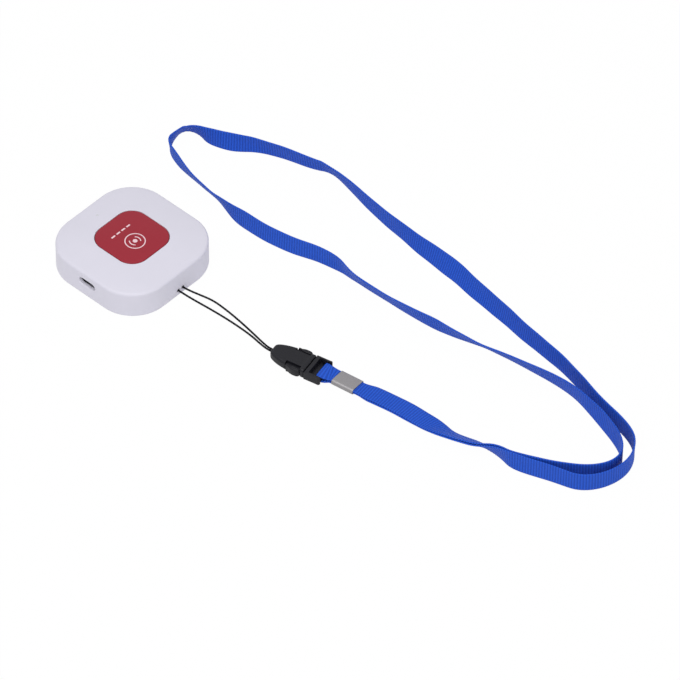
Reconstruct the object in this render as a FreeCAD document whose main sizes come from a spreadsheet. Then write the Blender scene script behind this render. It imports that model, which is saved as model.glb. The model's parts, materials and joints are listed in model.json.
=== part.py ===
import FreeCAD, Part
import math
import os
import Sketcher

os.makedirs("parts", exist_ok=True)
doc = FreeCAD.newDocument("wearable_call_button")
V = FreeCAD.Vector

# Driving dimensions, in millimetres and degrees.
# Frame: +Z up, +Y towards the strap holes, +X towards the charging port,
# origin at the middle of the underside of the case.
sheet = doc.addObject("Spreadsheet::Sheet", "dims")
DRIVING = dict(
    case_wide=60.0,          # rounded-square case, across flats
    case_corner=18.6,        # plan radius of its corners
    case_wall=1.8,
    crown_top=16.7,          # height of the crown at the middle
    crown_drop=2.8,          # how far the crown falls to the case wall
    rim_round=1.4,           # rounding between the wall and the crown
    foot_bevel=0.8,          # bevel at the bottom edge
    crown_reach=18.0,        # how far in from the wall the crown section runs
    button_wide=28.8,        # red button, across flats
    button_corner=8.4,
    button_gap=0.2,          # gap round the button
    button_travel=0.6,
    button_skin=1.5,         # thickness of the button's cap
    lip_wide=31.2,           # retaining lip under the shell
    lip_thick=0.8,
    lip_top=13.6,
    collar_gap=0.3,          # round the lip
    collar_wall=1.2,
    collar_foot=11.0,
    cover_thick=1.8,
    cover_gap=0.15,
    board_foot=5.6,
    board_thick=1.0,
    board_wide=50.0,
    board_corner=14.0,
    boss_place=18.0,         # screw bosses, from the middle along X and Y
    boss_radius=2.4,
    shoulder_radius=3.3,
    screw_radius=0.8,
    screw_head_radius=1.5,
    screw_head_thick=0.8,
    screw_long=6.0,
    post_radius=1.5,         # posts that carry the board
    post_across=10.0,
    post_along=17.0,
    port_along=0.5,          # charging port, along Y from the middle
    port_wide=8.94,
    port_tall=3.2,
    port_deep=7.3,
    port_wall=0.3,
    port_mouth_wide=9.9,     # opening in the case wall
    port_mouth_tall=3.9,
    switch_wide=6.0,
    switch_tall=3.5,
    plunger_radius=1.7,
    plunger_top=11.45,
    light_place=21.8,        # light pipe, towards -Y
    light_radius=0.55,
    cell_wide=30.0,
    cell_long=25.0,
    cell_thick=3.0,
    cell_foot=2.3,
    strap_place=0.2,         # middle of the two strap holes, towards -X
    strap_pitch=2.9,
    strap_height=3.3,
    strap_hole_radius=0.85,
    string_radius=0.5,
    buckle_long=27.9,
    buckle_wide=12.6,
    buckle_tall=5.2,
    buckle_turn=12.0,        # how the buckle lies, from +Y towards -X
    buckle_x=-0.7,           # middle of the buckle's nose
    buckle_y=86.5,
    socket_long=19.4,
    bar_place=26.6,
    bar_radius=1.0,
    ribbon_wide=10.0,
    ribbon_thick=0.8,
    layer_pitch=0.96,        # between two layers of ribbon lying together
    crimp_x=-9.3,
    crimp_y=124.1,
    crimp_z=2.1,
    crimp_turn=8.3,
    crimp_roll=7.0,
    crimp_long=11.5,
    crimp_wide=9.2,
    crimp_tall=2.9,
    crimp_wall=0.4,
)
for row, (name, value) in enumerate(DRIVING.items(), start=1):
    sheet.set(f"A{row}", name)
    sheet.set(f"B{row}", str(value))
    sheet.setAlias(f"B{row}", name)
doc.recompute()
NODES = []


def val(formula):
    """Value of a formula in the sheet's names, such as case_wide / 2."""
    if isinstance(formula, (int, float)):
        return float(formula)
    answer = sheet.evalExpression(formula)
    return float(getattr(answer, "Value", answer))


def bound(formula):
    """The same formula as another object has to write it."""
    words = str(formula).replace("(", " ( ").replace(")", " ) ").split()
    return " ".join(f"dims.{word}" if word in DRIVING else word for word in words)


def body(label):
    made = doc.addObject("PartDesign::Body", label)
    made.Label = label
    NODES.append(made)
    return made


def plane(owner, role):
    return next(item for item in owner.Origin.OriginFeatures if item.Role == role)


def sketch(owner, name, role="XY_Plane", lift=0):
    made = owner.newObject("Sketcher::SketchObject", name)
    made.AttachmentSupport = [(plane(owner, role), "")]
    made.MapMode = "FlatFace"
    made.AttachmentOffset = FreeCAD.Placement(V(0, 0, val(lift)), FreeCAD.Rotation())
    made.setExpression(".AttachmentOffset.Base.z", bound(lift))
    return made


def fix(sk, kind, where, formula):
    """A dimension of the sketch, tied to the sheet."""
    index = sk.addConstraint(Sketcher.Constraint(kind, *where, val(formula)))
    sk.setExpression(f"Constraints[{index}]", bound(formula))


def round_rect(sk, wide, deep, corner, x=0, y=0):
    """Rounded rectangle: four lines and four tangent quarter arcs."""
    w, d, r, cx, cy = val(wide) / 2, val(deep) / 2, val(corner), val(x), val(y)
    first = sk.GeometryCount
    middles = [(w - r, d - r), (r - w, d - r), (r - w, r - d), (w - r, r - d)]
    for turn, (mx, my) in enumerate(middles):
        start = turn * math.pi / 2
        circle = Part.Circle(V(cx + mx, cy + my, 0), V(0, 0, 1), r)
        sk.addGeometry(Part.ArcOfCircle(circle, start, start + math.pi / 2), False)
    ends = [sk.Geometry[first + n] for n in range(4)]
    for n in range(4):
        a, b = ends[n].EndPoint, ends[(n + 1) % 4].StartPoint
        sk.addGeometry(Part.LineSegment(a, b), False)
    line = first + 4
    for n in range(4):
        sk.addConstraint(Sketcher.Constraint("Tangent", first + n, 2, line + n, 1))
        sk.addConstraint(Sketcher.Constraint("Tangent", line + n, 2, first + (n + 1) % 4, 1))
    sk.addConstraint(Sketcher.Constraint("Horizontal", line))
    sk.addConstraint(Sketcher.Constraint("Vertical", line + 1))
    for n in range(1, 4):
        sk.addConstraint(Sketcher.Constraint("Equal", first, first + n))
    fix(sk, "Radius", (first,), corner)
    fix(sk, "DistanceX", (-1, 1, line + 3, 1), f"{x} + {wide} / 2")
    fix(sk, "DistanceX", (-1, 1, line + 1, 1), f"{x} - {wide} / 2")
    fix(sk, "DistanceY", (-1, 1, line, 1), f"{y} + {deep} / 2")
    fix(sk, "DistanceY", (-1, 1, line + 2, 1), f"{y} - {deep} / 2")


def circle(sk, radius, x=0, y=0):
    index = sk.addGeometry(Part.Circle(V(val(x), val(y), 0), V(0, 0, 1), val(radius)), False)
    fix(sk, "Radius", (index,), radius)
    fix(sk, "DistanceX", (-1, 1, index, 3), x)
    fix(sk, "DistanceY", (-1, 1, index, 3), y)


def arc_through(a, mid, b):
    """Arc by three points, always drawn anticlockwise, and whether that swaps its ends."""
    three = Part.Arc(a, mid, b).toShape().Curve
    centre, radius = three.Center, three.Radius
    clockwise = (mid - a).cross(b - mid).z < 0
    first, last = (b, a) if clockwise else (a, b)
    start = math.atan2(first.y - centre.y, first.x - centre.x)
    stop = math.atan2(last.y - centre.y, last.x - centre.x)
    if stop <= start:
        stop += 2 * math.pi
    return Part.ArcOfCircle(Part.Circle(centre, V(0, 0, 1), radius), start, stop), clockwise


def outline(sk, points):
    """Closed outline: (x, y) corners, and (x, y, mid x, mid y) for an arc to that point."""
    here = points[-1][:2]
    tips = []
    for point in points:
        a, b = V(here[0], here[1], 0), V(point[0], point[1], 0)
        if len(point) == 4:
            arc, swapped = arc_through(a, V(point[2], point[3], 0), b)
            index = sk.addGeometry(arc, False)
            tips.append((index, 2, 1) if swapped else (index, 1, 2))
        else:
            index = sk.addGeometry(Part.LineSegment(a, b), False)
            tips.append((index, 1, 2))
        here = point[:2]
    for (index, start, stop), (other, near, far) in zip(tips, tips[1:] + tips[:1]):
        sk.addConstraint(Sketcher.Constraint("Coincident", index, stop, other, near))


def solid_feature(owner, kind, sk, length, reverse=False, middle=False):
    """A Pad or Pocket of a sketch; a Pocket that cuts nothing stops the build."""
    before = owner.Shape.Volume if kind == "Pocket" else 0
    made = owner.newObject(f"PartDesign::{kind}", f"{kind}_{sk.Name}")
    made.Profile = sk
    made.Length = val(length)
    made.setExpression("Length", bound(length))
    made.Reversed = reverse
    if middle:
        made.SideType = "Symmetric"
    doc.recompute()
    if kind == "Pocket" and owner.Shape.Volume > before - 1e-6:
        raise ValueError(f"{made.Name} cuts nothing")
    return made


def pad(owner, sk, length, reverse=False, middle=False):
    return solid_feature(owner, "Pad", sk, length, reverse, middle)


def pocket(owner, sk, length, reverse=False, middle=False):
    return solid_feature(owner, "Pocket", sk, length, reverse, middle)


def around(owner, features, count=4):
    """The same features repeated round the vertical axis."""
    made = owner.newObject("PartDesign::PolarPattern", f"round_{features[0].Name}")
    made.Originals = features
    made.Axis = (plane(owner, "Z_Axis"), [""])
    made.Angle = 360
    made.Occurrences = count
    owner.Tip = made
    doc.recompute()
    return made


RIM_STEPS = 3    # flats that make up the rounding between the wall and the crown

# Crown of the case: one arc in section, carried along the sides and round the corners.
HALF = val("case_wide") / 2
CROWN_RADIUS = (HALF ** 2 + val("crown_drop") ** 2) / (2 * val("crown_drop"))


def crown(x, drop=0.0):
    """Height of the crown's arc at a distance x from the middle, or of one drop inside it."""
    radius = CROWN_RADIUS - drop
    return val("crown_top") - CROWN_RADIUS + math.sqrt(radius ** 2 - x ** 2)


def case_section():
    """Section through the wall and the crown, from the foot round to the inside of the foot."""
    wall, rim, foot = val("case_wall"), val("rim_round"), val("foot_bevel")
    inner_x = HALF - wall
    centre_z = val("crown_top") - CROWN_RADIUS
    rim_z = centre_z + math.sqrt((CROWN_RADIUS - rim) ** 2 - (HALF - rim) ** 2)
    lean = math.atan2(HALF - rim, rim_z - centre_z)
    meet = (CROWN_RADIUS * math.sin(lean), centre_z + CROWN_RADIUS * math.cos(lean))
    sweep = math.pi / 2 - lean
    rim_points = [(HALF - rim + rim * math.cos(sweep * step / RIM_STEPS),
                   rim_z + rim * math.sin(sweep * step / RIM_STEPS)) for step in range(1, RIM_STEPS)]
    end_x = HALF - val("crown_reach")
    mid_out = (meet[0] + end_x) / 2
    return [
        (inner_x, 0.0),
        (HALF - foot, 0.0),
        (HALF, foot),
        (HALF, rim_z),
        *rim_points,
        meet,
        (end_x, crown(end_x), mid_out, crown(mid_out)),
        (end_x, crown(end_x, wall)),
        (inner_x, crown(inner_x, wall)),
    ]


def front_shell():
    """Moulded case: walls and crown in one, bosses, button collar, port, strap holes."""
    shell = body("front_shell")
    side = sketch(shell, "wall_section", "XZ_Plane")
    outline(side, case_section())
    straight = pad(shell, side, "case_wide - 2 * case_corner", middle=True)
    turned = sketch(shell, "corner_section", "XZ_Plane", "0 - ( case_wide / 2 - case_corner )")
    outline(turned, case_section())
    arc_x = val("case_wide / 2 - case_corner")
    turned.addGeometry(Part.LineSegment(V(arc_x, 0, 0), V(arc_x, 10, 0)), True)
    corner = shell.newObject("PartDesign::Revolution", "corner")
    corner.Profile = turned
    corner.ReferenceAxis = (turned, ["Axis0"])
    corner.Angle = 90
    doc.recompute()
    if shell.Shape.BoundBox.YMax < HALF - 0.01:
        corner.Reversed = True
        doc.recompute()
    around(shell, [straight, corner])

    opening = sketch(shell, "button_opening", lift="crown_top + 2")
    gap = "( button_wide + 2 * button_gap )"
    round_rect(opening, gap, gap, "( button_corner + button_gap )")
    pocket(shell, opening, "crown_top")

    collar = sketch(shell, "collar", lift="collar_foot")
    inner = "( lip_wide + 2 * collar_gap )"
    outer = "( lip_wide + 2 * collar_gap + 2 * collar_wall )"
    round_rect(collar, outer, outer, "10.8")
    round_rect(collar, inner, inner, "9.6")
    pad(shell, collar, "14.6 - collar_foot")

    bosses = sketch(shell, "bosses", lift="cover_thick")
    for across in (1, -1):
        for along in (1, -1):
            circle(bosses, "boss_radius", f"{across} * boss_place", f"{along} * boss_place")
    pad(shell, bosses, "14.0 - cover_thick")
    shoulders = sketch(shell, "boss_shoulders", lift="board_foot + board_thick")
    for across in (1, -1):
        for along in (1, -1):
            circle(shoulders, "shoulder_radius", f"{across} * boss_place", f"{along} * boss_place")
    pad(shell, shoulders, "14.0 - board_foot - board_thick")
    pilots = sketch(shell, "screw_pilots")
    for across in (1, -1):
        for along in (1, -1):
            circle(pilots, "screw_radius", f"{across} * boss_place", f"{along} * boss_place")
    pocket(shell, pilots, "cover_thick + screw_long", reverse=True)

    block = sketch(shell, "strap_block", lift="cover_thick")
    round_rect(block, "9.6", "4.6", "0.8", "0 - strap_place", "26.6")
    pad(shell, block, "5.2 - cover_thick")
    pocket_room = sketch(shell, "strap_pocket", lift="cover_thick + 0.5")
    round_rect(pocket_room, "5.4", "2.0", "0.6", "0 - strap_place", "26.2")
    pocket(shell, pocket_room, "1.9", reverse=True)
    holes = sketch(shell, "strap_holes", "XZ_Plane", "0 - 32")
    for side_sign in (1, -1):
        circle(holes, "strap_hole_radius", f"0 - strap_place + {side_sign} * strap_pitch / 2",
               "strap_height")
    pocket(shell, holes, "5.4", reverse=True)

    port = sketch(shell, "port_mouth", "YZ_Plane", "32")
    round_rect(port, "port_mouth_wide", "port_mouth_tall", "( port_mouth_tall / 2 - 0.01 )",
               "port_along", "board_foot + board_thick + port_tall / 2")
    pocket(shell, port, "5")

    light = sketch(shell, "light_hole", lift="20")
    circle(light, "light_radius + 0.05", "0", "0 - light_place")
    pocket(shell, light, "8")
    return shell


def rear_cover():
    """Underside plate that closes the case, with its screw recesses and the board's posts."""
    cover = body("rear_cover")
    plate = sketch(cover, "cover_plate")
    size = "( case_wide - 2 * case_wall - 2 * cover_gap )"
    corner = "( case_corner - case_wall - cover_gap )"
    round_rect(plate, size, size, corner)
    pad(cover, plate, "cover_thick")
    recess = sketch(cover, "cover_screw_recesses")
    through = sketch(cover, "cover_screw_holes")
    for across in (1, -1):
        for along in (1, -1):
            place = f"{across} * boss_place", f"{along} * boss_place"
            circle(recess, "screw_head_radius + 0.1", *place)
            circle(through, "screw_radius + 0.1", *place)
    pocket(cover, recess, "screw_head_thick + 0.2", reverse=True)
    pocket(cover, through, "cover_thick + 1", reverse=True)
    posts = sketch(cover, "board_posts", lift="cover_thick")
    for across in (1, -1):
        for along in (1, -1):
            circle(posts, "post_radius", f"{across} * post_across", f"{along} * post_along")
    pad(cover, posts, "board_foot - cover_thick")
    return cover


def screws():
    """Four cover screws in one node: a flat head and a plain shank each."""
    group = []
    for across in (1, -1):
        for along in (1, -1):
            at = V(across * val("boss_place"), along * val("boss_place"), 0.2)
            head = Part.makeCylinder(val("screw_head_radius"), val("screw_head_thick"), at)
            slot = Part.makeBox(2.0, 0.35, 0.4, at + V(-1.0, -0.175, 0))
            cross = Part.makeBox(0.35, 2.0, 0.4, at + V(-0.175, -1.0, 0))
            shank_foot = at + V(0, 0, val("screw_head_thick"))
            shank = Part.makeCylinder(val("screw_radius"), val("screw_long"), shank_foot)
            group.append(head.cut(slot).cut(cross).fuse(shank))
    return group


def own_shape(label, shape, placement=None):
    """A piece whose shape is set from Part's own functions."""
    made = doc.addObject("Part::Feature", label)
    made.Label = label
    made.Shape = shape
    if placement is not None:
        made.Placement = placement
    NODES.append(made)
    return made


def call_button():
    """Red button: crowned cap, skirt, retaining lip and the post that meets the switch."""
    cap = body("call_button")
    block = sketch(cap, "button_block", lift="12.9")
    round_rect(block, "button_wide", "button_wide", "button_corner")
    pad(cap, block, "crown_top + 1 - 12.9")
    lip = sketch(cap, "button_lip", lift="lip_top - lip_thick")
    round_rect(lip, "lip_wide", "lip_wide", "9.6")
    pad(cap, lip, "lip_thick")
    hollow = sketch(cap, "button_hollow", lift="12.0")
    inside = "( button_wide - 2 * button_skin )"
    round_rect(hollow, inside, inside, "( button_corner - button_skin )")
    pocket(cap, hollow, "crown_top - button_skin - 0.6 - 12.0", reverse=True)
    post = sketch(cap, "button_post", lift="plunger_top + 0.05")
    circle(post, "2.4")
    pad(cap, post, "crown_top - button_skin - plunger_top")
    above = sketch(cap, "crown_cut", "XZ_Plane")
    edge = val("lip_wide * 0.6")
    over = val("crown_top") + 3
    outline(above, [(-edge, over), (edge, over), (edge, crown(edge)),
                    (-edge, crown(edge), 0.0, val("crown_top"))])
    centre_z = val("crown_top") - CROWN_RADIUS
    above.addGeometry(Part.LineSegment(V(0, centre_z, 0), V(1, centre_z, 0)), True)
    groove = cap.newObject("PartDesign::Groove", "crown")
    groove.Profile = above
    groove.ReferenceAxis = (above, ["Axis0"])
    groove.Angle = 360
    doc.recompute()
    return cap


def plate_body(label, wide, deep, thick, foot, corner, x=0, y=0):
    """Rounded plate or block, standing at a height; without a corner radius it is square-cut."""
    made = body(label)
    base = sketch(made, f"{label}_outline", lift=foot)
    if corner:
        round_rect(base, wide, deep, corner, x, y)
    else:
        w, d, cx, cy = val(wide) / 2, val(deep) / 2, val(x), val(y)
        outline(base, [(cx - w, cy - d), (cx + w, cy - d), (cx + w, cy + d), (cx - w, cy + d)])
    pad(made, base, thick)
    return made


BOARD_TOP = "( board_foot + board_thick )"


def electronics():
    """Board, switch, light, radio, port and cell, each where such a device carries it."""
    board = plate_body("circuit_board", "board_wide", "board_wide", "board_thick",
                       "board_foot", "board_corner")
    holes = sketch(board, "board_holes", lift="board_foot + board_thick + 1")
    for across in (1, -1):
        for along in (1, -1):
            circle(holes, "boss_radius + 0.15", f"{across} * boss_place", f"{along} * boss_place")
    pocket(board, holes, "board_thick + 3")

    switch = plate_body("tact_switch", "switch_wide", "switch_wide", "switch_tall",
                        BOARD_TOP, "0.5")
    bore = sketch(switch, "switch_bore", lift="board_foot + board_thick + switch_tall + 1")
    circle(bore, "plunger_radius + 0.08")
    pocket(switch, bore, "3.2")
    plunger = body("switch_plunger")
    stem = sketch(plunger, "plunger_stem", lift="9.2")
    circle(stem, "plunger_radius")
    pad(plunger, stem, "plunger_top - 9.2")

    plate_body("radio_shield", "11", "9", "2", BOARD_TOP, None, "0 - 15.5", "8")
    plate_body("control_chip", "5", "5", "0.9", BOARD_TOP, None, "13", "0 - 9")
    plate_body("timing_crystal", "3.2", "1.5", "0.7", BOARD_TOP, None, "13", "0 - 3")
    plate_body("chip_antenna", "7", "2", "0.8", BOARD_TOP, None, "0 - 12", "21.5")
    plate_body("status_led", "1.6", "0.8", "0.6", BOARD_TOP, None, "0", "0 - light_place")
    plate_body("cell_socket", "3.8", "5.0", "1.2", "( board_foot - 1.2 )", None, "19.6", "0 - 2")

    pipe = body("light_pipe")
    flange = sketch(pipe, "light_flange", lift="board_foot + board_thick + 0.8")
    circle(flange, "1.3", "0", "0 - light_place")
    pad(pipe, flange, "5.2")
    tip = sketch(pipe, "light_tip", lift="12")
    circle(tip, "light_radius", "0", "0 - light_place")
    pad(pipe, tip, "15.1 - 12")

    cell = plate_body("battery_cell", "cell_wide", "cell_long", "cell_thick", "cell_foot", "1.4")
    plate_body("cell_pad", "20", "16", "cell_foot - cover_thick", "cover_thick", None)
    return cell


def charge_port():
    """Steel receptacle shell behind the opening, open at the front, with its tongue."""
    foot = "board_foot + board_thick + port_tall / 2"
    front = "case_wide / 2 - case_wall - 0.6"
    shell = body("port_shell")
    outer = sketch(shell, "port_outer", "YZ_Plane", front)
    round_rect(outer, "port_wide", "port_tall", "( port_tall / 2 - 0.01 )", "port_along", foot)
    pad(shell, outer, "port_deep", reverse=True)
    inner = sketch(shell, "port_inner", "YZ_Plane", f"{front} + 1")
    wide = "( port_wide - 2 * port_wall )"
    tall = "( port_tall - 2 * port_wall )"
    round_rect(inner, wide, tall, "( port_tall / 2 - port_wall - 0.01 )", "port_along", foot)
    pocket(shell, inner, "port_deep")
    tongue = body("port_tongue")
    blade = sketch(tongue, "port_blade", "YZ_Plane", f"{front} - port_deep + 1")
    round_rect(blade, "6.7", "0.7", "0.1", "port_along", foot)
    pad(tongue, blade, "port_deep - 1.8")


def bent_wire(points, radius, sides=8):
    """Thin tube along straight runs joined by arcs, and its section's area, length and radii."""
    edges, length, bends = run_and_arc(points)
    path = Part.Wire(edges)
    start = edges[0]
    tangent = start.tangentAt(start.FirstParameter)
    turn = FreeCAD.Rotation(V(0, 0, 1), tangent)
    ring = [points[0] + turn.multVec(V(radius * math.cos(math.tau * n / sides),
                                       radius * math.sin(math.tau * n / sides), 0))
            for n in range(sides + 1)]
    tube = path.makePipeShell([Part.makePolygon(ring)], True, False)
    area = sides / 2 * radius ** 2 * math.sin(math.tau / sides)
    return tube, area, length, bends


def run_and_arc(points):
    """Edges along a route: each corner has the largest arc that its two runs allow."""
    edges, length, bends = [], 0.0, []
    here = points[0]
    for before, corner, after in zip(points, points[1:], points[2:]):
        back, ahead = before - corner, after - corner
        reach = 0.45 * min(back.Length, ahead.Length)
        back.normalize()
        ahead.normalize()
        turn = math.pi - back.getAngle(ahead)
        radius = reach / math.tan(turn / 2)
        enter, leave = corner + back * reach, corner + ahead * reach
        inward = back + ahead
        inward.normalize()
        middle = corner + inward * (radius / math.cos(turn / 2) - radius)
        edges.append(Part.LineSegment(here, enter).toShape())
        arc = Part.Arc(enter, middle, leave).toShape()
        edges.append(arc)
        length += edges[-2].Length + arc.Length
        bends.append((radius, math.degrees(turn)))
        here = leave
    edges.append(Part.LineSegment(here, points[-1]).toShape())
    return edges, length + edges[-1].Length, bends


def cell_leads():
    """Two insulated leads from the cell to its socket on the board, in one node."""
    leads = []
    for shift in (-0.7, 0.7):
        y = -2.0 + shift
        route = [V(15.0, y, 4.2), V(16.2, y, 4.2), V(17.1, y, 4.8), V(17.7, y, 4.8)]
        leads.append(bent_wire(route, 0.4, 6)[0])
    return leads


# The buckle lies on its own axes: X across, Y along from the nose, Z up.
BUCKLE = FreeCAD.Placement(
    V(val("buckle_x"), val("buckle_y"), 0), FreeCAD.Rotation(V(0, 0, 1), val("buckle_turn")))


def buckle_point(across, along, up):
    return BUCKLE.multVec(V(across, along, up))


def placed(made, placement):
    made.Placement = placement
    return made


def mirror_points(points):
    """An outline's right half, and its mirror image back down the left side."""
    back = []
    for n in range(len(points) - 1, 0, -1):
        point, before = points[n], points[n - 1]
        if len(point) == 4:
            back.append((-before[0], before[1], -point[2], point[3]))
        else:
            back.append((-before[0], before[1]))
    return back


def buckle():
    """Side-release buckle: bullet socket, plug frame with its bar, and two sprung latches."""
    tall = "buckle_tall"
    socket = body("buckle_socket")
    shape = sketch(socket, "socket_outline")
    half = [
        (0.0, 0.0),
        (2.2, 0.0),
        (3.4, 1.3, 3.1, 0.35),
        (5.7, 9.4, 4.9, 5.2),
        (5.7, 19.4),
        (0.0, 19.4),
    ]
    outline(shape, half + mirror_points(half)[:-1])
    pad(socket, shape, tall)
    soften(socket, "socket_rounding", 0.5)
    room = sketch(socket, "socket_room", "XZ_Plane", "0 - 20")
    round_rect(room, "10.2", "3.4", "0.5", 0, "buckle_tall / 2")
    pocket(socket, room, "14", reverse=True)
    windows = sketch(socket, "socket_windows", lift="buckle_tall + 1")
    for sign in (1, -1):
        round_rect(windows, "3.2", "8.0", "0.6", f"{sign} * 6.0", "13.6")
    pocket(socket, windows, "buckle_tall + 2")
    string_slot = sketch(socket, "string_slot", "XZ_Plane", "1")
    round_rect(string_slot, "3.4", "2.2", "0.7", 0, "buckle_tall / 2")
    pocket(socket, string_slot, "8", reverse=False)
    placed(socket, BUCKLE)

    plug = body("buckle_plug")
    frame = sketch(plug, "plug_outline", lift="0.2")
    long_half = [
        (0.0, 19.7),
        (6.3, 19.7),
        (6.3, 26.6),
        (5.6, 27.9, 6.1, 27.6),
        (0.0, 27.9),
    ]
    outline(frame, long_half + mirror_points(long_half)[:-1])
    pad(plug, frame, "buckle_tall - 0.4")
    soften(plug, "plug_rounding", 0.4)
    window = sketch(plug, "plug_window", lift="buckle_tall + 1")
    round_rect(window, "10.4", "3.9", "0.5", 0, "23.75")
    pocket(plug, window, "buckle_tall + 2")
    for name, foot in (("bar_top", "buckle_tall / 2 + bar_radius"), ("bar_under", "0 - 0.5")):
        thin = sketch(plug, name, lift=foot)
        round_rect(thin, "10.4", "2.6", "0.4", 0, "27.0")
        pocket(plug, thin, "buckle_tall / 2 - bar_radius + 0.5", reverse=True)
    prong = sketch(plug, "plug_prong", lift="1.7")
    round_rect(prong, "2.6", "10.6", "0.8", 0, "14.9")
    pad(plug, prong, "1.8")
    placed(plug, BUCKLE)

    for name, sign in (("latch_arm_right", 1), ("latch_arm_left", -1)):
        latch = body(name)
        arm = sketch(latch, f"{name}_outline", lift="1.2")
        points = [
            (3.3, 18.85, 4.0, 19.55),
            (3.1, 17.4),
            (3.4, 12.0, 3.0, 14.6),
            (4.3, 9.9, 3.7, 10.7),
            (5.5, 10.3, 5.0, 9.7),
            (6.9, 14.6, 6.6, 12.2),
            (6.1, 17.3, 6.8, 16.2),
            (4.6, 17.5),
            (4.7, 18.85),
        ]
        flip = [(sign * p[0], p[1]) + ((sign * p[2], p[3]) if len(p) == 4 else ()) for p in points]
        outline(arm, flip)
        pad(latch, arm, "2.8")
        placed(latch, BUCKLE)


def soften(owner, name, radius):
    """Small rounding on the outer upright and rim edges that the hand feels."""
    before = owner.Tip
    solid = before.Shape
    chosen = []
    box = solid.BoundBox
    for number, edge in enumerate(solid.Edges, start=1):
        level = abs(edge.Vertexes[0].Z - edge.Vertexes[-1].Z) < 1e-6
        at_rim = min(abs(edge.Vertexes[0].Z - box.ZMax), abs(edge.Vertexes[0].Z - box.ZMin)) < 1e-6
        long_enough = edge.Length > 3 * radius
        if level and at_rim and long_enough:
            chosen.append(number)
    made = owner.newObject("PartDesign::Chamfer", name)
    made.Base = (before, [f"Edge{number}" for number in chosen])
    made.Size = radius
    doc.recompute()
    return made


# Thin string from the case to the buckle: one piece, round the web between the strap holes.
STRAP_ROUTE = [
    buckle_point(0.58, 3.2, 2.6),
    buckle_point(0.58, -1.8, 2.4),
    V(-1.1, 78.6, 1.0),
    V(-2.4, 71.5, 0.6),
    V(-2.6, 60.0, 0.6),
    V(-2.0, 48.5, 0.65),
    V(-0.6, 38.8, 1.3),
    V(0.9, 33.3, 2.9),
    V(1.25, 29.5, 3.3),
    V(1.25, 26.2, 3.3),
    V(-1.65, 26.2, 3.3),
    V(-1.65, 29.5, 3.3),
    V(-2.3, 33.2, 2.9),
    V(-4.7, 38.4, 1.5),
    V(-6.7, 44.5, 0.7),
    V(-6.3, 54.0, 0.6),
    V(-5.2, 63.5, 0.6),
    V(-3.7, 72.8, 0.6),
    V(-2.35, 78.9, 1.05),
    buckle_point(-0.58, -1.8, 2.4),
    buckle_point(-0.58, 3.2, 2.6),
]

# The crimp's own axes: X across, Y along the ribbon, Z up.
CRIMP = FreeCAD.Placement(
    V(val("crimp_x"), val("crimp_y"), val("crimp_z")),
    FreeCAD.Rotation(V(0, 0, 1), val("crimp_turn")).multiply(
        FreeCAD.Rotation(V(0, 1, 0), -val("crimp_roll"))))
CRIMP_ACROSS = CRIMP.Rotation.multVec(V(1, 0, 0))


def crimp_point(across, along, up):
    return CRIMP.multVec(V(across, along, up))


# Where the two layers of ribbon lie together, from the crimp to the start of the neck loop:
# a point half-way between the layers, and the way across the ribbon to its near edge.
PAIR_ROUTE = [
    (crimp_point(0, 7.2, 0), CRIMP_ACROSS),
    (V(-12.6, 143.5, 2.0), V(0.97, 0.20, 0.15)),
    (V(-15.2, 155.0, 1.9), V(0.98, 0.16, 0.12)),
    (V(-16.9, 167.5, 2.1), V(0.97, 0.18, 0.15)),
    (V(-17.5, 179.0, 3.1), V(0.88, 0.27, 0.40)),
    (V(-19.2, 190.5, 4.3), V(0.74, 0.25, 0.62)),
    (V(-21.9, 201.5, 5.25), V(0.30, 0.05, 0.95)),
    (V(-23.4, 213.5, 5.4), V(-0.05, 0.00, 1.00)),
]

# The ribbon's tight turn round the buckle's bar, between the crimp and back, top layer first.
BAR_ROUTE = [
    (crimp_point(0, -7.2, 0.48), CRIMP_ACROSS),
    (buckle_point(0, 28.6, 4.13), V(0.978, 0.208, 0.01)),
    (buckle_point(0, 24.95, 4.15), V(0.978, 0.208, 0.0)),
    (buckle_point(0, 24.95, 1.05), V(0.978, 0.208, 0.0)),
    (buckle_point(0, 28.4, 1.03), V(0.978, 0.208, 0.01)),
    (crimp_point(0, -7.2, -0.48), CRIMP_ACROSS),
]

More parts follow.
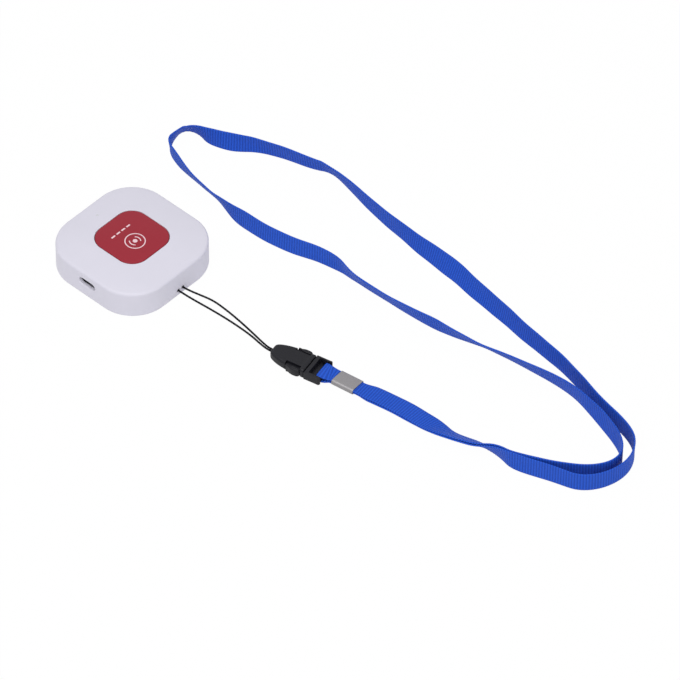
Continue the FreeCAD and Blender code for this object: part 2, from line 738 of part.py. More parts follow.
# The neck loop, standing on its edge: out along the far side and back.
LOOP_ROUTE = [
    (V(-27.6, 230.0, 5.3), V(-0.05, 0.00, 1.00)),
    (V(-36.5, 246.5, 5.3), V(0.00, 0.00, 1.00)),
    (V(-51.0, 253.0, 5.3), V(0.00, 0.00, 1.00)),
    (V(-64.8, 247.5, 5.3), V(0.00, 0.00, 1.00)),
    (V(-71.2, 236.0, 5.3), V(0.05, 0.00, 1.00)),
    (V(-75.5, 219.0, 5.3), V(0.10, 0.00, 0.99)),
    (V(-79.5, 197.0, 5.3), V(-0.05, 0.00, 1.00)),
    (V(-83.5, 168.0, 5.3), V(-0.15, 0.02, 0.98)),
    (V(-88.0, 137.0, 5.2), V(-0.28, 0.03, 0.96)),
    (V(-91.8, 107.0, 5.1), V(-0.32, 0.03, 0.95)),
    (V(-93.6, 78.0, 5.3), V(-0.05, 0.00, 1.00)),
    (V(-98.0, 50.0, 5.3), V(0.13, -0.03, 0.99)),
    (V(-101.0, 32.5, 5.1), V(0.36, 0.00, 0.93)),
    (V(-98.2, 19.0, 5.2), V(0.27, 0.08, 0.96)),
    (V(-90.5, -3.0, 5.3), V(0.14, 0.07, 0.99)),
    (V(-82.8, -16.5, 5.3), V(-0.08, -0.05, 0.99)),
    (V(-80.6, -26.8, 5.3), V(0.05, 0.00, 1.00)),
    (V(-79.2, -35.2, 5.1), V(0.35, 0.20, 0.90)),
    (V(-73.6, -40.8, 5.05), V(0.36, 0.36, 0.86)),
    (V(-65.5, -41.5, 5.1), V(0.38, 0.34, 0.86)),
    (V(-59.4, -36.8, 5.1), V(0.35, 0.25, 0.88)),
    (V(-56.8, -27.8, 5.0), V(0.30, 0.05, 0.94)),
    (V(-54.6, -13.2, 5.0), V(0.38, -0.05, 0.92)),
    (V(-52.4, 2.0, 5.1), V(0.30, -0.04, 0.95)),
    (V(-50.0, 22.0, 5.3), V(-0.08, 0.00, 0.99)),
    (V(-52.4, 42.0, 5.3), V(-0.09, 0.00, 0.99)),
    (V(-56.9, 61.5, 5.3), V(0.00, 0.00, 1.00)),
    (V(-58.0, 82.0, 5.0), V(0.40, 0.00, 0.91)),
    (V(-58.4, 106.0, 5.1), V(0.36, 0.02, 0.93)),
    (V(-61.0, 130.0, 5.1), V(0.30, 0.05, 0.95)),
    (V(-65.5, 153.5, 4.7), V(0.55, 0.12, 0.82)),
    (V(-69.8, 178.0, 5.0), V(0.37, 0.03, 0.93)),
    (V(-72.2, 203.0, 5.3), V(0.12, 0.00, 0.99)),
    (V(-68.6, 224.5, 5.3), V(-0.13, 0.04, 0.99)),
    (V(-63.4, 238.0, 5.3), V(-0.12, 0.05, 0.99)),
    (V(-57.0, 246.6, 5.3), V(0.00, 0.00, 1.00)),
    (V(-47.5, 247.8, 5.3), V(0.00, 0.00, 1.00)),
    (V(-38.6, 240.8, 5.3), V(0.00, 0.00, 1.00)),
    (V(-30.6, 229.0, 5.3), V(0.00, 0.00, 1.00)),
]


def layers():
    """The two layers of the doubled stretch, half a layer pitch to each side of its middle."""
    half = val("layer_pitch") / 2
    lower, upper = [], []
    for n, (point, across) in enumerate(PAIR_ROUTE):
        before = PAIR_ROUTE[max(n - 1, 0)][0]
        after = PAIR_ROUTE[min(n + 1, len(PAIR_ROUTE) - 1)][0]
        normal = across.cross(after - before)
        normal.normalize()
        lower.append((point - normal * half, across))
        upper.append((point + normal * half, across))
    return lower, upper


def ribbon_stations():
    """The whole ribbon's route: crimp, round the bar, back through the crimp, the loop, back."""
    lower, upper = layers()
    half = val("layer_pitch") / 2
    start = (crimp_point(0, -0.1, half), CRIMP_ACROSS)
    end = (crimp_point(0, 0.1, half), CRIMP_ACROSS)
    return [start] + BAR_ROUTE + lower + LOOP_ROUTE + upper[::-1] + [end]


def ribbon_sections(stations, steps=2):
    """Frames along the route: straight runs joined by arcs, each with the way across there."""
    points = [point for point, across in stations]
    frames = [(points[0], points[1] - points[0], stations[0][1])]
    length, bends = 0.0, []
    for n in range(1, len(points) - 1):
        back, ahead = points[n - 1] - points[n], points[n + 1] - points[n]
        reach = 0.45 * min(back.Length, ahead.Length)
        back.normalize()
        ahead.normalize()
        turn = math.pi - back.getAngle(ahead)
        radius = reach / math.tan(turn / 2)
        inward = back + ahead
        inward.normalize()
        middle = points[n] + inward * (radius / math.cos(turn / 2))
        count = steps + int(math.degrees(turn) / 15)
        for step in range(count + 1):
            angle = turn * (step / count - 0.5)
            tangent = ahead - back
            tangent.normalize()
            spot = middle - inward * (radius * math.cos(angle)) + tangent * (radius * math.sin(angle))
            heading = tangent * math.cos(angle) + inward * math.sin(angle)
            share = 0.5 + 0.45 * (2 * step / count - 1)
            if share < 0.5:
                across = stations[n - 1][1] * (0.5 - share) + stations[n][1] * (0.5 + share)
            else:
                across = stations[n][1] * (1.5 - share) + stations[n + 1][1] * (share - 0.5)
            frames.append((spot, heading, across))
        bends.append((radius, math.degrees(turn)))
    frames.append((points[-1], points[-1] - points[-2], stations[-1][1]))
    for before, after in zip(frames, frames[1:]):
        length += (after[0] - before[0]).Length
    return frames, length, bends


def ribbon_section(spot, heading, across, wide, thick):
    """Flat section square to the route there."""
    heading = V(heading)
    heading.normalize()
    across = across - heading * across.dot(heading)
    across.normalize()
    normal = across.cross(heading)
    corners = [(1, 1), (1, -1), (-1, -1), (-1, 1), (1, 1)]
    return Part.makePolygon(
        [spot + across * (i * wide / 2) + normal * (j * thick / 2) for i, j in corners])


def neck_ribbon():
    """Woven ribbon as one flat strip with the twists that it has where it lies."""
    stations = ribbon_stations()
    frames, length, bends = ribbon_sections(stations)
    wide, thick = val("ribbon_wide"), val("ribbon_thick")
    narrow = val("crimp_wide") - 2 * val("crimp_wall") - 0.2
    crimp_middle = stations[0][0]
    wires = []
    for spot, heading, across in frames:
        near = (spot - crimp_middle).Length
        share = min(1.0, max(0.0, (near - 7.5) / 6.0))
        wires.append(ribbon_section(spot, heading, across, narrow + (wide - narrow) * share, thick))
    strip = Part.makeLoft(wires, True, True)
    report_route("neck_ribbon", strip, wide * thick, length, bends)
    return strip


def report_route(name, solid, section, length, bends):
    tight = min(bends, key=lambda bend: bend[0])
    print(name, f"length {length:.1f}", f"section x length {section * length:.1f}",
          f"volume {solid.Volume:.1f}", f"tightest {tight[0]:.2f} at turn {tight[1]:.0f}",
          f"largest turn {max(bend[1] for bend in bends):.0f}")
    print("  radii", " ".join(f"{bend[0]:.1f}" for bend in bends))


def crimp():
    """Flattened metal sleeve round both layers of the ribbon, with its lapped seam."""
    clip = body("ribbon_crimp")
    outer = sketch(clip, "crimp_outer", "XZ_Plane", "0 - crimp_long / 2")
    round_rect(outer, "crimp_wide", "crimp_tall", "1.1")
    pad(clip, outer, "crimp_long")
    inner = sketch(clip, "crimp_inner", "XZ_Plane", "0 - crimp_long / 2 - 1")
    wide = "( crimp_wide - 2 * crimp_wall )"
    tall = "( crimp_tall - 2 * crimp_wall )"
    round_rect(inner, wide, tall, "0.7")
    pocket(clip, inner, "crimp_long + 2", reverse=True)
    return placed(clip, CRIMP)


def string_stop():
    """Ferrule that joins the string's two ends inside the buckle's nose."""
    shape = Part.makeBox(2.6, 2.2, 1.5, V(-1.3, 3.2, val("buckle_tall") / 2 - 0.75))
    shape = shape.makeFillet(0.3, [edge for edge in shape.Edges if edge.Length > 2.1])
    return own_shape("string_stop", shape, BUCKLE)


def strap_string():
    tube, area, length, bends = bent_wire(STRAP_ROUTE, val("string_radius"))
    report_route("strap_string", tube, area, length, bends)
    return own_shape("strap_string", tube)


def main():
    front_shell()
    rear_cover()
    own_shape("cover_screws", Part.makeCompound(screws()))
    call_button()
    electronics()
    charge_port()
    own_shape("cell_leads", Part.makeCompound(cell_leads()))
    buckle()
    string_stop()
    strap_string()
    crimp()
    own_shape("neck_ribbon", neck_ribbon())
    doc.recompute()
    for item in doc.Objects:
        if "Invalid" in item.State or "Error" in item.State:
            raise ValueError(f"{item.Name} failed: {item.State}")
    for node in NODES:
        shape = node.Shape
        if shape.isNull() or not shape.isValid():
            raise ValueError(f"{node.Label} has no valid shape")
        shape.exportStep(f"parts/{node.Label}.step")
        box = shape.BoundBox
        print(f"{node.Label:18s} solids {len(shape.Solids)} volume {shape.Volume:9.1f} "
              f"x {box.XMin:7.2f} {box.XMax:7.2f} y {box.YMin:7.2f} {box.YMax:7.2f} "
              f"z {box.ZMin:6.2f} {box.ZMax:6.2f}")


main()
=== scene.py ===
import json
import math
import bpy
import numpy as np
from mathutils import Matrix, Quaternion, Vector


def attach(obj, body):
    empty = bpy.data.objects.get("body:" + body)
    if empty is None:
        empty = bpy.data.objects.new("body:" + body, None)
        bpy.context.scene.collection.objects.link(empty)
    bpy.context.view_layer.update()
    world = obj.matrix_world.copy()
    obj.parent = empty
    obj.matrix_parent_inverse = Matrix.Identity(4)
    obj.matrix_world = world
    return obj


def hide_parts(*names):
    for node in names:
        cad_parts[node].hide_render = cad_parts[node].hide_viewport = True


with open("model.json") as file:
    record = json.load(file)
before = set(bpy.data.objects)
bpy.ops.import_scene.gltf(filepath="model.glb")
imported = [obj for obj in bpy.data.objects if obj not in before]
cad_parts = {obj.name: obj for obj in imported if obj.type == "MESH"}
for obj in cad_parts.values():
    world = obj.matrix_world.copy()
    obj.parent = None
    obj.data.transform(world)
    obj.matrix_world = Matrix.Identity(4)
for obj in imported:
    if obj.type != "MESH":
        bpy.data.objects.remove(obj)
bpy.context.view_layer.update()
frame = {"nodes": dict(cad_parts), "record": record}

# %% [markdown]
# A wearable call button on a neck lanyard, modelled in the order in which someone would lay it
# on a table: the camera and the two cords first, because they decide the picture, then the
# white case, the red button and the buckle, and last the finishes and the light.
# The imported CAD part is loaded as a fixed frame. Where its solid already looks right, it stays
# and gets a better finish. Where the real thing is softer or finer, a new surface replaces it.

MM = 0.001
nodes = frame["nodes"]

# %% [markdown]
# The photograph is a long-lens studio shot from a little above. The view's direction and
# distance were solved from the outline of the square case, so a lens of over 400 mm stands
# about three and a half metres away, which keeps the case's sides nearly parallel. The camera
# is rolled by a fifth of a degree, as the real one was.

# %% Camera
VIEW_AZIMUTH, VIEW_ELEVATION = math.radians(132.66), math.radians(46.02)
VIEW_TARGET = Vector((-27.95, 102.37, 0.0)) * MM
VIEW_DISTANCE = 3595.18 * MM
VIEW_ROLL = math.radians(0.21)
FOCAL_PIXELS, IMAGE_PIXELS, SENSOR_MM = 8000, 680, 36.0
back = Vector((
    math.sin(VIEW_AZIMUTH) * math.cos(VIEW_ELEVATION),
    -math.cos(VIEW_AZIMUTH) * math.cos(VIEW_ELEVATION),
    math.sin(VIEW_ELEVATION)))
camera = bpy.data.objects.new("camera", bpy.data.cameras.new("camera"))
bpy.context.collection.objects.link(camera)
camera.data.sensor_width = SENSOR_MM
camera.data.lens = FOCAL_PIXELS * SENSOR_MM / IMAGE_PIXELS
camera.data.clip_start, camera.data.clip_end = 0.05, 50.0
camera.location = VIEW_TARGET + back * VIEW_DISTANCE
camera.rotation_mode = "QUATERNION"
level_view = (-back).to_track_quat("-Z", "Y")
camera.rotation_quaternion = level_view @ Quaternion((0, 0, 1), VIEW_ROLL)
bpy.context.scene.camera = camera
print("camera", [round(value, 3) for value in camera.location], "lens", round(camera.data.lens, 1))

# %% [markdown]
# Every new surface is an array of points with faces between them. Two helpers are enough for
# the whole scene: one turns points and faces into a mesh object, and one joins a grid of
# points, row by row, with the ends closed where the form is a ring or a tube.

# %% From arrays to a mesh
def mesh_piece(name, points, faces, sharp=40.0):
    """Mesh object from an array of points and a list of faces, smooth except at sharp edges."""
    mesh = bpy.data.meshes.new(name)
    mesh.from_pydata(np.asarray(points, float).tolist(), [], faces)
    mesh.validate()
    mesh.shade_smooth()
    mesh.set_sharp_from_angle(angle=math.radians(sharp))
    piece = bpy.data.objects.new(name, mesh)
    bpy.context.collection.objects.link(piece)
    return piece


def grid_faces(rows, columns, rows_loop=False, columns_loop=True):
    """Faces of a grid: point (row, column) has the number row times columns plus column.
    A loop joins the last row or column to the first."""
    row = np.arange(rows if rows_loop else rows - 1)
    column = np.arange(columns if columns_loop else columns - 1)
    row, column = np.meshgrid(row, column, indexing="ij")
    next_row, next_column = (row + 1) % rows, (column + 1) % columns
    corners = [row * columns + column, row * columns + next_column,
               next_row * columns + next_column, next_row * columns + column]
    return np.stack([corner.ravel() for corner in corners], axis=1)


def tube_faces(rows, columns):
    """Faces of a tube of rings, closed by one flat face at each end."""
    start = [list(range(columns))[::-1]]
    end = [[(rows - 1) * columns + n for n in range(columns)]]
    return grid_faces(rows, columns).tolist() + start + end


def add_uv(piece, across, along):
    """UV map from one pair of values for each point, in the same units as the pattern."""
    layer = piece.data.uv_layers.new(name="thread")
    corner = np.empty(len(piece.data.loops), dtype=np.int32)
    piece.data.loops.foreach_get("vertex_index", corner)
    layer.data.foreach_set("uv", np.stack([across[corner], along[corner]], axis=1).ravel())


def report(piece, what):
    size = np.array(piece.bound_box).max(axis=0) - np.array(piece.bound_box).min(axis=0)
    print(f"{what}: {piece.name}, {len(piece.data.polygons)} faces,",
          " x ".join(f"{side / MM:.1f}" for side in size), "mm")


# %% [markdown]
# The blue ribbon is one flat woven band, 10 mm wide and about 927 mm long, with both ends in the
# metal crimp. A flat band keeps its width and turns about its own line, so its form is a line
# in space plus, at each point, the way across the band. Both come from a short list of
# stations, because the band stands on its edge in the loop and lies flat near the crimp. They
# were first picked from edges read in the photograph. A least-squares fit by another program
# then moved those of the loop and of the doubled stretch, some by 9 mm, and a few in the left
# turn were moved again by hand. A NURBS curve has the stations as its control points.

# %% Where the buckle and the crimp lie
def turned_frame(centre, turn, roll=0.0):
    """Function from a place (across, along, up) on a turned and rolled piece to the row frame."""
    turn, roll = math.radians(turn), math.radians(roll)
    level = np.array([math.cos(turn), math.sin(turn), 0.0])
    along = np.array([-math.sin(turn), math.cos(turn), 0.0])
    up = np.array([0.0, 0.0, 1.0])
    across = level * math.cos(roll) + up * math.sin(roll)
    upward = up * math.cos(roll) - level * math.sin(roll)
    axes = np.stack([across, along, upward])
    return lambda place: np.asarray(centre, float) + np.asarray(place, float) @ axes


BUCKLE_TURN, CRIMP_TURN, CRIMP_ROLL = 12.0, 8.3, 7.0
on_buckle = turned_frame((-0.7, 86.5, 0.0), BUCKLE_TURN)
on_crimp = turned_frame((-9.3, 124.1, 2.1), CRIMP_TURN, CRIMP_ROLL)
CRIMP_ACROSS = on_crimp((1, 0, 0)) - on_crimp((0, 0, 0))
LAYER_PITCH = 0.96
print("buckle nose", on_buckle((0, 0, 0)), "crimp middle", on_crimp((0, 0, 0)))

# %% [markdown]
# The stations come in three lists. In the first the two layers lie on each other, and a station
# stands for the middle between them. The second goes round the buckle's bar and the third round
# the neck loop. A station's second part is the way across the band: level where the ribbon lies
# flat, and upright where it stands on its edge.

# %% The ribbon's stations, in millimetres: a point and the way across the band
PAIR_ROUTE = [
    (on_crimp((0, 7.2, 0)), CRIMP_ACROSS),
    ((-12.8, 142.8, 2.0), (0.97, 0.19, 0.15)),
    ((-14.9, 154.9, 1.9), (0.99, 0.11, 0.12)),
    ((-15.8, 168.6, 2.1), (0.99, 0.01, 0.14)),
    ((-14.7, 179.5, 3.9), (0.83, 0.07, 0.55)),
    ((-19.3, 193.5, 4.3), (0.75, 0.16, 0.64)),
    ((-22.3, 203.0, 5.2), (0.33, -0.01, 0.94)),
    ((-21.7, 212.8, 5.4), (-0.06, -0.01, 1.00)),
]
BAR_ROUTE = [
    (on_crimp((0, -7.2, 0.48)), CRIMP_ACROSS),
    (on_buckle((0, 28.6, 4.13)), (0.978, 0.208, 0.01)),
    (on_buckle((0, 24.95, 4.15)), (0.978, 0.208, 0.0)),
    (on_buckle((0, 24.95, 1.05)), (0.978, 0.208, 0.0)),
    (on_buckle((0, 28.4, 1.03)), (0.978, 0.208, 0.01)),
    (on_crimp((0, -7.2, -0.48)), CRIMP_ACROSS),
]
LOOP_ROUTE = [
    ((-27.8, 229.4, 5.42), (-0.05, -0.01, 1.00)),
    ((-32.8, 246.7, 5.42), (0.00, 0.00, 1.00)),
    ((-50.7, 252.9, 5.42), (0.00, 0.01, 1.00)),
    ((-64.7, 247.5, 5.42), (-0.02, 0.03, 1.00)),
    ((-70.8, 235.9, 5.42), (-0.03, 0.01, 1.00)),
    ((-73.2, 218.4, 5.42), (-0.05, 0.01, 1.00)),
    ((-80.2, 196.2, 5.42), (-0.04, 0.01, 1.00)),
    ((-83.6, 167.6, 5.42), (-0.13, 0.02, 0.99)),
    ((-88.2, 137.2, 5.32), (-0.27, 0.04, 0.96)),
    ((-92.3, 109.9, 5.02), (-0.42, 0.04, 0.91)),
    ((-93.3, 80.3, 5.42), (-0.04, 0.01, 1.00)),
    ((-97.9, 49.0, 5.42), (0.14, -0.03, 0.99)),
    ((-101.7, 28.1, 4.92), (0.44, 0.00, 0.90)),
    ((-97.8, 20.0, 5.32), (0.24, 0.08, 0.97)),
    ((-91.5, -4.0, 5.42), (0.17, 0.07, 0.98)),
    ((-82.5, -16.5, 5.42), (-0.17, -0.10, 0.98)),
    ((-78.4, -26.6, 5.42), (-0.04, -0.02, 1.00)),
    ((-78.2, -34.6, 4.90), (0.40, 0.22, 0.89)),
    ((-75.2, -39.4, 4.60), (0.42, 0.42, 0.80)),
    ((-68.4, -38.8, 4.70), (0.34, 0.38, 0.86)),
    ((-61.2, -35.9, 5.32), (0.15, 0.00, 0.98)),
    ((-57.9, -27.2, 5.42), (0.12, -0.03, 0.99)),
    ((-54.2, -13.0, 5.02), (0.41, -0.08, 0.91)),
    ((-52.8, 1.4, 4.82), (0.49, -0.08, 0.87)),
    ((-49.5, 20.3, 5.42), (-0.11, 0.00, 0.99)),
    ((-52.0, 46.7, 5.42), (-0.09, -0.02, 1.00)),
    ((-59.6, 70.3, 5.42), (0.02, 0.01, 1.00)),
    ((-57.5, 84.1, 5.12), (0.39, -0.02, 0.92)),
    ((-57.9, 103.2, 5.02), (0.42, 0.02, 0.91)),
    ((-60.2, 130.8, 5.32), (0.22, 0.04, 0.97)),
    ((-66.0, 155.0, 4.42), (0.60, 0.12, 0.79)),
    ((-70.1, 178.9, 5.02), (0.41, 0.04, 0.91)),
    ((-72.5, 202.3, 5.42), (0.17, -0.01, 0.99)),
    ((-67.9, 224.4, 5.42), (-0.13, 0.03, 0.99)),
    ((-63.3, 238.0, 5.42), (-0.11, 0.06, 0.99)),
    ((-57.0, 246.6, 5.42), (0.00, 0.00, 1.00)),
    ((-47.5, 247.8, 5.42), (0.00, 0.00, 1.00)),
    ((-38.6, 240.8, 5.42), (0.00, 0.00, 1.00)),
    ((-30.6, 229.0, 5.42), (0.00, 0.00, 1.00)),
]

# %% [markdown]
# The stations are joined into one route, and the curve's points are then spaced evenly, because
# the woven ribs have to be equally far apart everywhere. The way across is blended between the
# stations in the same measure as the curve.

# %% The ribbon's smooth line
def ribbon_stations():
    """All stations in order: crimp, round the buckle's bar, the lower layer, the loop, the upper
    layer. Each layer lies half a layer pitch to its side of the doubled stretch's middle."""
    points, across = (np.array(column, float) for column in zip(*PAIR_ROUTE))
    ahead = np.vstack([points[1:], points[-1:]]) - np.vstack([points[:1], points[:-1]])
    normal = np.cross(across, ahead)
    normal *= LAYER_PITCH / 2 / np.linalg.norm(normal, axis=1, keepdims=True)
    lower = list(zip(points - normal, across))
    upper = list(zip(points + normal, across))
    start = (on_crimp((0, -0.1, LAYER_PITCH / 2)), CRIMP_ACROSS)
    end = (on_crimp((0, 0.1, LAYER_PITCH / 2)), CRIMP_ACROSS)
    stations = [start] + BAR_ROUTE + lower + LOOP_ROUTE + upper[::-1] + [end]
    return (np.array(column, float) for column in zip(*stations))


def smooth_line(name, route, steps):
    """Points of the NURBS line that has the route as its control points."""
    curve = bpy.data.curves.new(name, "CURVE")
    curve.dimensions = "3D"
    spline = curve.splines.new("NURBS")
    spline.points.add(len(route) - 1)
    spline.points.foreach_set("co", np.c_[route, np.ones(len(route))].ravel())
    spline.order_u = 3
    spline.use_endpoint_u = True
    spline.resolution_u = steps
    holder = bpy.data.objects.new(name, curve)
    mesh = bpy.data.meshes.new_from_object(holder)
    line = np.empty(len(mesh.vertices) * 3)
    mesh.vertices.foreach_get("co", line)
    bpy.data.objects.remove(holder)
    bpy.data.meshes.remove(mesh)
    return line.reshape(-1, 3)


def even_spacing(line, count, *followers):
    """The line and what goes with it, at equal steps of length."""
    run = np.r_[0, np.cumsum(np.linalg.norm(np.diff(line, axis=0), axis=1))]
    place = np.linspace(0, run[-1], count)
    pick = lambda values: np.stack([np.interp(place, run, column) for column in values.T], axis=1)
    return (place, pick(line)) + tuple(pick(values) for values in followers)


def unit(vectors):
    return vectors / np.linalg.norm(vectors, axis=1, keepdims=True)


def soften_rows(values, width):
    """Running mean along the rows, with the ends held."""
    padded = np.vstack([values[:1].repeat(width, 0), values, values[-1:].repeat(width, 0)])
    kernel = np.ones(2 * width + 1) / (2 * width + 1)
    return np.stack([np.convolve(column, kernel, "valid") for column in padded.T], axis=1)


route, route_across = ribbon_stations()
dense = smooth_line("ribbon_line", route, 24)
control = np.r_[0, np.arange(len(route) - 2) + 0.5, len(route) - 2]
moment = np.linspace(0, len(route) - 2, len(dense))
dense_across = np.stack([np.interp(moment, control, column) for column in route_across.T], axis=1)
RIB_PITCH, STEPS_PER_RIB = 1.3, 5
ribbon_length = np.linalg.norm(np.diff(dense, axis=0), axis=1).sum()
ribbon_rows = int(ribbon_length / RIB_PITCH) * STEPS_PER_RIB
ribbon_run, ribbon_line, ribbon_across = even_spacing(dense, ribbon_rows, dense_across)
print(f"ribbon line {ribbon_length:.1f} mm in {ribbon_rows} steps")

# %% [markdown]
# Woven ribbon of this kind has fine ribs straight across it and a firm edge where the weft
# turns back. The section below is carried along the line: flat faces, a slightly thicker edge,
# and ribs as small waves in the thickness. The band is also never quite flat, so its two edges
# wander a few tenths of a millimetre. Near the crimp it is squeezed to 8 mm.

# %% Ribbon
RIBBON_WIDE, RIBBON_NARROW, RIBBON_HALF_THICK, RIB_HEIGHT = 10.0, 8.1, 0.31, 0.09
SQUEEZE_REACH, TWIST_SOFTNESS = 7.0, 12
SECTION_ACROSS = np.array([1, .97, .9, .7, .4, .1, -.2, -.5, -.8, -.93, -.985])
SECTION_THICK = np.array([0, .8, 1.0, .93, .9, .9, .9, .9, .93, 1.0, .8])


def ribbon_surface():
    """Section of 22 points carried along the line. A point is the line, plus the way across
    times half the width, plus the face's normal times the half thickness and the ribs' wave."""
    tangent = unit(np.gradient(ribbon_line, axis=0))
    across = soften_rows(ribbon_across, TWIST_SOFTNESS)
    across = unit(across - tangent * (across * tangent).sum(axis=1, keepdims=True))
    normal = np.cross(across, tangent)
    from_crimp = np.linalg.norm(ribbon_line - on_crimp((0, 0, 0)), axis=1)
    squeeze = np.clip(from_crimp / SQUEEZE_REACH - 1, 0, 1)
    squeeze = squeeze * squeeze * (3 - 2 * squeeze)
    half_wide = (RIBBON_NARROW + (RIBBON_WIDE - RIBBON_NARROW) * squeeze) / 2
    wander = 0.10 * np.sin(ribbon_run / 5.3) + 0.08 * np.sin(ribbon_run / 2.9 + 1.0)
    curl = 0.16 * np.sin(ribbon_run / 7.7) * np.sin(ribbon_run / 23.0 + 0.6) * squeeze
    share = np.r_[SECTION_ACROSS, -SECTION_ACROSS]
    thick = np.r_[SECTION_THICK, -SECTION_THICK] * RIBBON_HALF_THICK
    wave = 0.5 + 0.5 * np.cos(2 * np.pi * ribbon_run / RIB_PITCH)
    flat = np.clip((1.0 - np.abs(share)) / 0.06, 0, 1) * np.sign(thick)
    side = share[None, :] * half_wide[:, None] - wander[:, None] * (np.abs(share) > 0.6)
    rise = thick[None, :] + RIB_HEIGHT * wave[:, None] * flat[None, :]
    rise = rise + (curl[:, None] * (share ** 2)[None, :])
    points = (ribbon_line[:, None, :] + across[:, None, :] * side[:, :, None]
              + normal[:, None, :] * rise[:, :, None])
    return points, share


ribbon_points, ribbon_share = ribbon_surface()
ribbon_ring = len(ribbon_share)
neck_ribbon = mesh_piece("woven_neck_ribbon", ribbon_points.reshape(-1, 3) * MM,
                         tube_faces(ribbon_rows, ribbon_ring), sharp=80)
add_uv(neck_ribbon, np.tile(ribbon_share * 5.0, ribbon_rows), np.repeat(ribbon_run, ribbon_ring))
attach(neck_ribbon, "root")
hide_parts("neck_ribbon")
report(neck_ribbon, "woven ribbon")

# %% [markdown]
# The thin black string is one piece of braided cord, 1 mm thick: from the buckle's nose to the
# case, round the web between the two strap holes and back. A braid is a round tube whose
# surface swells where the strands lie on top. Two families of strands wind opposite ways, so
# the swelling is the product of two waves, one for each way of winding.

# %% String
STRING_RADIUS, BRAID_STRANDS, BRAID_PITCH, BRAID_SWELL = 0.47, 4, 3.2, 0.035
STRING_COLUMNS, STRING_STEP = 20, 0.2
STRAP_ROUTE = [
    on_buckle((0.58, 3.2, 2.6)),
    on_buckle((0.58, -1.8, 2.4)),
    (-1.1, 78.6, 1.0),
    (-2.4, 71.5, 0.6),
    (-2.6, 60.0, 0.6),
    (-2.0, 48.5, 0.65),
    (-0.6, 38.8, 1.3),
    (0.9, 33.3, 2.9),
    (1.25, 29.5, 3.3),
    (1.25, 26.2, 3.3),
    (-1.65, 26.2, 3.3),
    (-1.65, 29.5, 3.3),
    (-2.3, 33.2, 2.9),
    (-4.7, 38.4, 1.5),
    (-6.7, 44.5, 0.7),
    (-6.3, 54.0, 0.6),
    (-5.2, 63.5, 0.6),
    (-3.7, 72.8, 0.6),
    (-2.35, 78.9, 1.05),
    on_buckle((-0.58, -1.8, 2.4)),
    on_buckle((-0.58, 3.2, 2.6)),
]


def braided_tube(line, run):
    """Round tube about a line, carried by a frame whose side stays level, with the radius
    swollen by the product of two waves that wind opposite ways."""
    tangent = unit(np.gradient(line, axis=0))
    side = unit(np.cross(tangent, (0.0, 0.0, 1.0)))
    top = np.cross(side, tangent)
    angle = np.linspace(0, 2 * np.pi, STRING_COLUMNS, endpoint=False)
    wind = 2 * np.pi * run[:, None] / BRAID_PITCH
    one_way = np.cos(BRAID_STRANDS * angle[None, :] / 2 + wind)
    other_way = np.cos(BRAID_STRANDS * angle[None, :] / 2 - wind)
    radius = STRING_RADIUS + BRAID_SWELL * one_way * other_way
    ring = (side[:, None, :] * np.cos(angle)[None, :, None]
            + top[:, None, :] * np.sin(angle)[None, :, None])
    return line[:, None, :] + ring * radius[:, :, None]


string_dense = smooth_line("string_line", np.array(STRAP_ROUTE, float), 24)
string_length = np.linalg.norm(np.diff(string_dense, axis=0), axis=1).sum()
string_rows = int(string_length / STRING_STEP)
string_run, string_line = even_spacing(string_dense, string_rows)
string_points = braided_tube(string_line, string_run)
strap_string = mesh_piece("braided_strap_string", string_points.reshape(-1, 3) * MM,
                          tube_faces(string_rows, STRING_COLUMNS), sharp=80)
string_round = np.arange(STRING_COLUMNS) / STRING_COLUMNS * 3.0
add_uv(strap_string, np.tile(string_round, string_rows), np.repeat(string_run, STRING_COLUMNS))
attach(strap_string, "root")
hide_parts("strap_string")
report(strap_string, "braided string")

# %% [markdown]
# The case is a rounded square with a pillow-shaped top. One number describes the whole shape:
# the gauge, the half width of the rounded square that passes through a point. Walls, rim, top
# and inside are then one profile of gauge and height, carried round the square. The top's
# height depends on the gauge alone, so the red button, which uses the same rule, lies flush.

# %% The case's two rules: an outline for each gauge, and the crown's height
CASE_HALF, CASE_CORNER, CASE_WALL, CROWN_TOP, CROWN_DROP = 30.0, 18.6, 1.8, 16.7, 2.8
RIM_ROUND, FOOT_ROUND, OPENING_HALF, OPENING_CORNER = 1.4, 0.8, 14.6, 8.6
CROWN_RADIUS = (CASE_HALF ** 2 + CROWN_DROP ** 2) / (2 * CROWN_DROP)
RIM_HEIGHT = CROWN_TOP - CROWN_RADIUS + math.sqrt(
    (CROWN_RADIUS - RIM_ROUND) ** 2 - (CASE_HALF - RIM_ROUND) ** 2)
RIM_LEAN = math.atan2(CASE_HALF - RIM_ROUND, RIM_HEIGHT - CROWN_TOP + CROWN_RADIUS)
CROWN_EDGE = CROWN_RADIUS * math.sin(RIM_LEAN)


def crown_height(gauge):
    """Height of the top: a circle's arc over the gauge."""
    return CROWN_TOP - CROWN_RADIUS + np.sqrt(CROWN_RADIUS ** 2 - np.asarray(gauge) ** 2)


def corner_radius(gauge):
    """Plan radius: parallel to the wall outside the crown's edge, and from there straight down
    to the button opening's radius and on to nothing at the middle."""
    edge_radius = CASE_CORNER - (CASE_HALF - CROWN_EDGE)
    inside = np.interp(gauge, [0, OPENING_HALF, CROWN_EDGE], [0, OPENING_CORNER, edge_radius])
    return np.where(gauge > CROWN_EDGE, CASE_CORNER - (CASE_HALF - gauge), inside)


